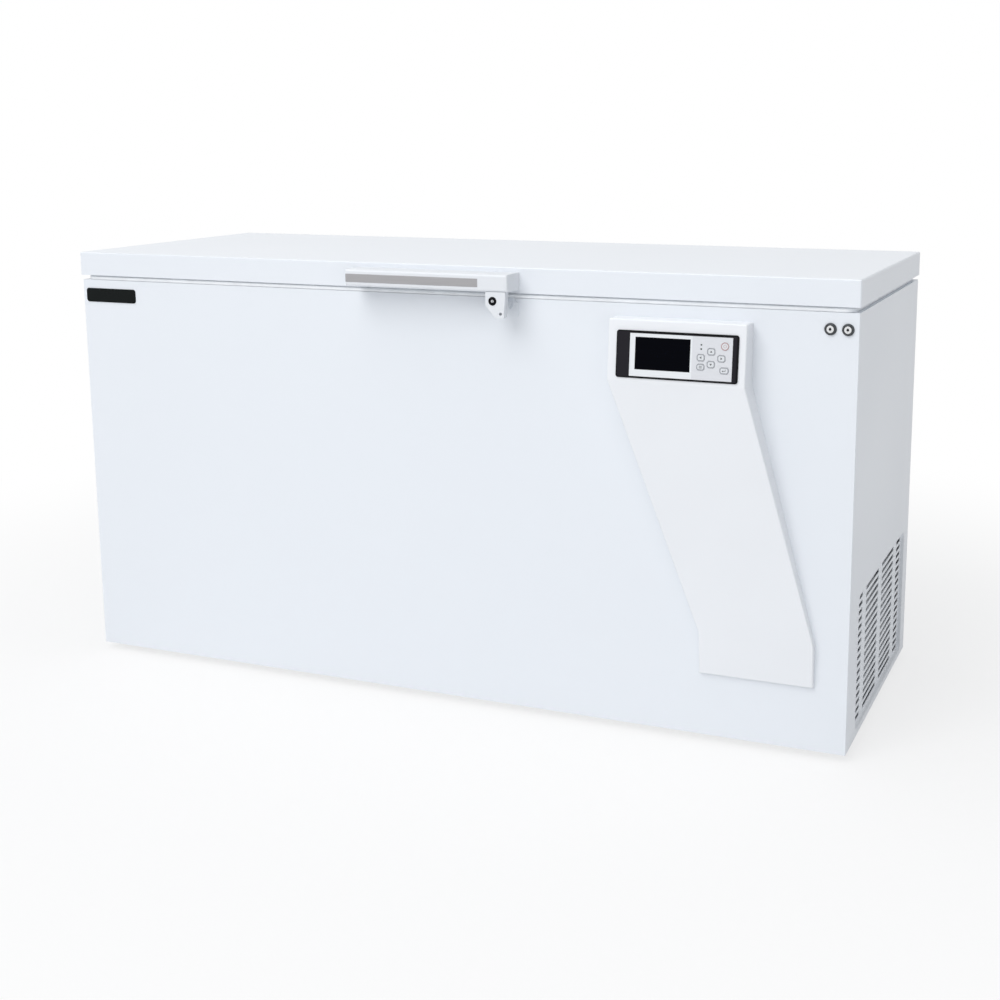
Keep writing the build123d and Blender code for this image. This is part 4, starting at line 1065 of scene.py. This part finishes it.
class FREEZER_OT_key_switches(bpy.types.Operator):
    """Two key switches with stepped collars and slotted cores"""

    bl_idname = "freezer.key_switches"
    bl_label = "Key switches"

    def execute(self, context):
        cores = ("left_key_core", "right_key_core")
        low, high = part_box("key_switch_bodies")
        radius = (high.z - low.z) / 2
        bore = 6.6 * MM
        barrel = 8.8 * MM
        sheet = -3.98 * MM
        end = -27.5 * MM
        # From the bore's end round the collar's front and back along the barrel
        profile = [
            (bore, end),
            (bore, -1.1 * MM),
            (bore + 0.7 * MM, -0.9 * MM),
            (bore + 1.0 * MM, -0.2 * MM),
            (bore + 1.4 * MM, 0),
            (radius - 1.6 * MM, 0),
            (radius - 0.9 * MM, -0.4 * MM),
            (radius - 0.3 * MM, -1.5 * MM),
            (radius, -2.6 * MM),
            (radius, sheet),
            (barrel, sheet),
            (barrel, end),
            (bore, end),
        ]
        bm = bmesh.new()
        for node in cores:
            spot = centre_of(node)
            lathe(bm, profile, Vector((spot.x, low.y, spot.z)), FRONT, 56)
        # Painted dark reflection: the collars' near-black base colour stands in for the dark
        # surroundings that bright chrome mirrors.
        collar_dark_reflection = polished("collar_nickel", (0.075, 0.08, 0.085), 0.25)
        finished(bm, "key_switch_collars", "key_switch_bodies", 40, collar_dark_reflection)
        # Painted shade: each core's face gets a dark disc in its middle for the shade inside the
        # keyhole, with bright chrome round it.
        keyhole_shade_radius = 2.3 * MM
        dark = (0.03, 0.03, 0.035)
        bright = (0.75, 0.76, 0.77)
        for node in cores:
            spot = centre_of(node)
            face = centred_metal(node + "_nickel", spot, keyhole_shade_radius, dark, bright, (0.2, 1.0))
            clean_copy(node, node + "_face", 0.3 * MM, degrees=40, material=face)
        return {"FINISHED"}


class FREEZER_OT_handle(bpy.types.Operator):
    """Handle bar with its metal strip"""

    bl_idname = "freezer.handle"
    bl_label = "Handle"

    def execute(self, context):
        clean_copy("handle_body", "handle_bar", 0.5 * MM, 3)
        metal = brushed("strip_aluminium", (0.43, 0.425, 0.44), 0, 0.34)
        clean_copy("handle_strip", "handle_strip_metal", 0.3 * MM, material=metal)
        return {"FINISHED"}


class FREEZER_OT_lock(bpy.types.Operator):
    """Lock tongue, ring, core and cam"""

    bl_idname = "freezer.lock"
    bl_label = "Lock"

    def execute(self, context):
        self.tongue()
        self.ring()
        keyway = 2.7 * MM
        bright = (0.62, 0.63, 0.65)
        black = (0.004, 0.004, 0.006)
        centre = centre_of("lock_bezel")
        face = centred_metal("lock_core_face", centre, keyway, bright, black, (1, 0))
        clean_copy("lock_barrel", "lock_core", 0.25 * MM, material=face)
        zinc = brushed("zinc_steel", (0.74, 0.77, 0.81), 0, 0.35, 0.7)
        clean_copy("lock_cam", "lock_hook", 0.2 * MM, 1, material=zinc)
        paint = finish_of("painted_steel")
        clean_copy("lock_strike", "lock_stud_plate", 0.3 * MM, material=paint)
        return {"FINISHED"}

    def tongue(self):
        """Tapered tongue, cut back behind its right edge, with its bore and padlock eye."""
        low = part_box("lock_housing")[0]
        seat = Seat(low, RIGHT, UP, BACK)
        sections = []
        for depth, width in TONGUE_DEPTHS:
            share = (width - TONGUE_BEND) / (TONGUE_WIDTH - TONGUE_BEND)
            section = []
            for x, z in round_corners(TONGUE_CORNERS):
                kept = x if x < TONGUE_BEND else TONGUE_BEND + (x - TONGUE_BEND) * share
                section.append((kept, z))
            sections.append(seat.laid(in_mm(section), depth * MM))
        bm = bmesh.new()
        stacked(bm, sections)
        tongue = object_from(bm, "lock_tongue")
        bore = centre_of("lock_bezel")
        eye = Vector((EYE_ACROSS, 0, low.z + EYE_HEIGHT))
        ahead = 10 * MM
        length = 60 * MM
        bm = bmesh.new()
        for place, radius in ((bore, LOCK_BORE), (eye, EYE_RADIUS)):
            rod(bm, radius, Vector((place.x, low.y - ahead, place.z)), length, 40)
        carved(tongue, object_from(bm, "lock_opening_cutter"))
        softened(tongue, 0.5 * MM)
        stand_in(smooth(tongue, 40), "lock_housing")

    def ring(self):
        """Round dark ring with a soft outer edge."""
        low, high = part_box("lock_bezel")
        radius = (high.x - low.x) / 2
        thickness = high.y - low.y
        shoulder = thickness * 0.7
        foot = thickness * 0.2
        centre = (low + high) / 2
        profile = [
            (LOCK_BORE, 0),
            (LOCK_BORE, shoulder),
            (LOCK_BORE + 0.3 * MM, thickness),
            (radius - 0.7 * MM, thickness),
            (radius - 0.15 * MM, shoulder),
            (radius, foot),
            (radius, 0),
            (LOCK_BORE, 0),
        ]
        bm = bmesh.new()
        lathe(bm, profile, Vector((centre.x, high.y, centre.z)), FRONT, 56)
        black = moulded("lock_ring_black", (0.003, 0.003, 0.005), 0.42, specular=0.1)
        finished(bm, "lock_ring", "lock_bezel", 50, black)


class FREEZER_OT_hinges(bpy.types.Operator):
    """Hinge leaves and pins"""

    bl_idname = "freezer.hinges"
    bl_label = "Hinges"

    def execute(self, context):
        for node in ("hinge_body_leaves", "hinge_lid_leaves", "hinge_pins"):
            clean_copy(node, node + "_steel")
        return {"FINISHED"}


def screw_unit(radius, height):
    """One low round screw head facing backwards, with a cross recess."""
    # Flat share of the radius, upright share of the height, and steps of the curve between
    flat = 0.55
    upright = 0.3
    steps = 6
    crown = []
    for i in range(steps + 1):
        angle = math.pi / 2 * (1 - i / steps)
        reach = flat + (1 - flat) * math.cos(angle)
        rise = upright + (1 - upright) * math.sin(angle)
        crown.append((radius * reach, height * rise))
    bm = bmesh.new()
    lathe(bm, [(0, height), *crown, (radius, 0), (0, 0)], Vector(), BACK, 32)
    head = object_from(bm, "screw_head_unit")
    arm = 1.24 * radius
    breadth = 0.24 * radius
    bm = bmesh.new()
    for across, up in ((arm, breadth), (breadth, arm)):
        block(bm, (0, height, 0), (across, height, up))
    return carved(head, object_from(bm, "screw_recess_cutter"))


def head_places(node):
    """Seats of the screw heads in one node, found as separate lumps."""
    bm = bmesh.new()
    bm.from_mesh(NODES[node].data)
    bmesh.ops.remove_doubles(bm, verts=bm.verts, dist=TINY)
    left = set(bm.verts)
    places = []
    while left:
        lump = [left.pop()]
        todo = list(lump)
        while todo:
            for edge in todo.pop().link_edges:
                for vert in left.intersection(edge.verts):
                    left.remove(vert)
                    lump.append(vert)
                    todo.append(vert)
        across, depth, height = ends([vert.co for vert in lump])
        places.append(Vector((sum(across) / 2, depth[0], sum(height) / 2)))
    bm.free()
    places.sort(key=lambda p: (round(p.x, 4), round(p.z, 4)))
    return places


class FREEZER_OT_screws(bpy.types.Operator):
    """Cross-head screws of the hinges and the rear cover"""

    bl_idname = "freezer.screws"
    bl_label = "Screws"

    def execute(self, context):
        head_radius = 4.2 * MM
        head_height = 1.9 * MM
        for node in ("panel_screws", "lid_screws"):
            unit = screw_unit(head_radius, head_height)
            bm = bmesh.new()
            for place in head_places(node):
                bm.verts.new(place)
            heads = object_from(bm, node + "_heads")
            grown(heads, copies_tree(), unit, "steel_bright", {})
            stand_in(smooth(heads), node)
        return {"FINISHED"}


class FREEZER_OT_back(bpy.types.Operator):
    """Power inlet at the back"""

    bl_idname = "freezer.back"
    bl_label = "Power inlet"

    def execute(self, context):
        clean_copy("power_inlet", "power_inlet_body", 0.3 * MM)
        return {"FINISHED"}


class FREEZER_OT_feet(bpy.types.Operator):
    """Low feet"""

    bl_idname = "freezer.feet"
    bl_label = "Feet"

    def execute(self, context):
        clean_copy("levelling_feet", "rubber_feet", 0.6 * MM)
        return {"FINISHED"}


class FREEZER_OT_chamber(bpy.types.Operator):
    """Storage chamber: tub, mouth frame, probe and insulation"""

    bl_idname = "freezer.chamber"
    bl_label = "Chamber"

    def execute(self, context):
        clean_copy("inner_liner", "chamber_tub")
        clean_copy("top_collar", "mouth_frame")
        clean_copy("temperature_probe", "probe")
        clean_copy("insulation", "insulating_foam_block")
        clean_copy("evaporator_coil", "evaporator_tube")
        return {"FINISHED"}


class FREEZER_OT_machine_room(bpy.types.Operator):
    """Compressors, condenser, fan and tubes"""

    bl_idname = "freezer.machine_room"
    bl_label = "Machine room"

    def execute(self, context):
        for node in (
            "machine_bulkhead",
            "high_stage_compressor",
            "low_stage_compressor",
            "compressor_mounts",
            "terminal_covers",
            "condenser_bends",
            "fan_hood",
            "fan_motor",
            "cascade_heat_exchanger",
            "filter_drier",
            "refrigerant_lines",
        ):
            clean_copy(node, node + "_piece")
        clean_copy("fan_blade", "fan_rotor")
        self.fins(context.scene.freezer_detail)
        self.tubes()
        return {"FINISHED"}

    def fins(self, detail):
        """Stacked fins of the condenser."""
        low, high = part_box("condenser_core")
        width, depth, height = high - low
        bm = bmesh.new()
        block(bm, (0, 0, 0), (width, detail.fin_thickness, height))
        unit = object_from(bm, "fin_unit")
        start = (low + high) / 2
        start.y = low.y + detail.fin_thickness / 2
        pitch = (depth - detail.fin_thickness) / (detail.fin_count - 1)
        sizes = {"Count": detail.fin_count, "Start": start, "Step": BACK * pitch}
        fins = object_from(bmesh.new(), "condenser_fins")
        grown(fins, row_tree(), unit, "fin_metal", sizes)
        stand_in(fins, "condenser_core")

    def tubes(self):
        """Tubes of the condenser, through its fins."""
        low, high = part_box("condenser_core")
        width, depth, height = high - low
        radius = 4.5 * MM
        columns = (0.28, 0.72)
        rows = 6
        bm = bmesh.new()
        for column in columns:
            for row in range(rows):
                share = (row + 0.5) / rows
                place = Vector((low.x + width * column, low.y, low.z + height * share))
                rod(bm, radius, place, depth, 16)
        belong(smooth(object_from(bm, "condenser_tubes")), "cabinet", "copper")


class FREEZER_OT_studio(bpy.types.Operator):
    """Floor, lights, surround and camera"""

    bl_idname = "freezer.studio"
    bl_label = "Studio"

    def execute(self, context):
        studio = context.scene.freezer_studio
        self.floor(studio)
        self.surround(context.scene, studio)
        self.lights(studio)
        self.camera(context.scene)
        context.scene.view_settings.view_transform = "Standard"
        return {"FINISHED"}

    def floor(self, studio):
        """Pale floor that fades into the white surround and keeps a soft shadow."""
        reach = 14.0
        corners = ((-reach, -reach), (reach, -reach), (reach, reach), (-reach, reach))
        bm = bmesh.new()
        bm.faces.new([bm.verts.new((x, y, 0)) for x, y in corners])
        floor = object_from(bm, "studio_floor")
        paint = Painter("studio_floor_white")
        paint.set(Base_Color=(*studio.floor_colour, 1), Roughness=0.9, Specular_IOR_Level=0.1)
        # The white has its least share up to the near distance and is full from the far one
        near = 0.9
        far = 2.4
        least = 0.72
        distance = paint.vector("LENGTH", "Value", paint.place)
        fade = paint.span(distance, near, far, least, 1.0)
        share = paint.combined("MULTIPLY", paint.seen(), fade)
        glow = paint.node("ShaderNodeEmission", {"Strength": 1.0})
        surfaces = {0: share, 1: paint.shader.outputs["BSDF"], 2: glow.outputs["Emission"]}
        mix = paint.node("ShaderNodeMixShader", surfaces)
        output = paint.tree.nodes["Material Output"]
        paint.feed(mix.outputs["Shader"], output.inputs["Surface"])
        give_material(floor, paint.material)

    def surround(self, scene, studio):
        """Even, slightly cool light all round, seen as plain white."""
        world = bpy.data.worlds.new("studio_surround")
        scene.world = world
        world.use_nodes = True
        sky = Wiring(world.node_tree)
        seen = sky.seen()
        back = sky.tree.nodes["Background"]
        sky.feed(sky.blend(seen, (0.94, 0.98, 1.04), (1, 1, 1)), back.inputs["Color"])
        sky.feed(sky.span(seen, 0, 1, studio.surround, 1.0), back.inputs["Strength"])

    def soft_box(self, name, place, aim, side, power):
        """One square area light turned to its aim."""
        data = bpy.data.lights.new(name, "AREA")
        data.shape = "SQUARE"
        data.size = side
        data.energy = power
        lamp = bpy.data.objects.new(name, data)
        bpy.context.scene.collection.objects.link(lamp)
        lamp.location = place
        lamp.rotation_euler = (Vector(aim) - Vector(place)).to_track_quat("-Z", "Y").to_euler()

    def lights(self, studio):
        """Key light from the upper left in front, a low fill at the right and one overhead."""
        middle = (0, 0, 0.5)
        self.soft_box("key_light", (-2.0, -7.0, 6.5), middle, 6.0, studio.key_power)
        self.soft_box("fill_light", (4.2, -4.6, 1.0), middle, 3.0, studio.fill_power)
        self.soft_box("top_light", (-0.6, -1.2, 6.0), middle, 5.0, studio.top_power)

    def camera(self, scene):
        """Camera at the photograph's place, with its small shift."""
        yaw = math.radians(CAMERA_YAW)
        pitch = math.radians(CAMERA_PITCH)
        roll = math.radians(CAMERA_ROLL)
        flat = Vector((-math.sin(yaw), math.cos(yaw), 0))
        ahead = flat * math.cos(pitch) - UP * math.sin(pitch)
        level = ahead.cross(UP).normalized()
        below = ahead.cross(level)
        right = level * math.cos(roll) + below * math.sin(roll)
        down = below * math.cos(roll) - level * math.sin(roll)
        turn = Matrix((right, -down, -ahead)).transposed().to_4x4()
        data = bpy.data.cameras.new("photo_camera")
        data.sensor_width = SENSOR
        data.lens = SENSOR * FOCAL_IN_WIDTHS
        data.shift_x = (PICTURE_SIDE / 2 - CENTRE_PIXEL[0]) / PICTURE_SIDE
        data.shift_y = (CENTRE_PIXEL[1] - PICTURE_SIDE / 2) / PICTURE_SIDE
        camera = bpy.data.objects.new("photo_camera", data)
        scene.collection.objects.link(camera)
        camera.matrix_world = Matrix.Translation(CAMERA_PLACE) @ turn
        scene.camera = camera


STEPS = (
    FREEZER_OT_cabinet,
    FREEZER_OT_lid,
    FREEZER_OT_seal,
    FREEZER_OT_console,
    FREEZER_OT_display,
    FREEZER_OT_keypad,
    FREEZER_OT_badge,
    FREEZER_OT_key_switches,
    FREEZER_OT_handle,
    FREEZER_OT_lock,
    FREEZER_OT_hinges,
    FREEZER_OT_screws,
    FREEZER_OT_back,
    FREEZER_OT_feet,
    FREEZER_OT_chamber,
    FREEZER_OT_machine_room,
    FREEZER_OT_studio,
)
GROUPS = {
    "freezer_finish": FreezerFinish,
    "freezer_detail": FreezerDetail,
    "freezer_studio": FreezerStudio,
}


class FREEZER_PT_sidebar(bpy.types.Panel):
    """Sidebar panel with the freezer's sizes, colours and steps"""

    bl_idname = "FREEZER_PT_sidebar"
    bl_label = "Freezer"
    bl_space_type = "VIEW_3D"
    bl_region_type = "UI"
    bl_category = "Freezer"

    def draw(self, context):
        column = self.layout.column()
        for group in GROUPS:
            settings = getattr(context.scene, group)
            for key in settings.__annotations__:
                column.prop(settings, key)
        for step in STEPS:
            column.operator(step.bl_idname)


CLASSES = (*GROUPS.values(), *STEPS, FREEZER_PT_sidebar)


def register():
    for kind in CLASSES:
        bpy.utils.register_class(kind)
    for name, group in GROUPS.items():
        setattr(bpy.types.Scene, name, bpy.props.PointerProperty(type=group))


def unregister():
    for name in GROUPS:
        delattr(bpy.types.Scene, name)
    for kind in reversed(CLASSES):
        bpy.utils.unregister_class(kind)


def main():
    register()
    for step in STEPS:
        group, name = step.bl_idname.split(".")
        getattr(getattr(bpy.ops, group), name)()


if __name__ == "__main__":
    main()
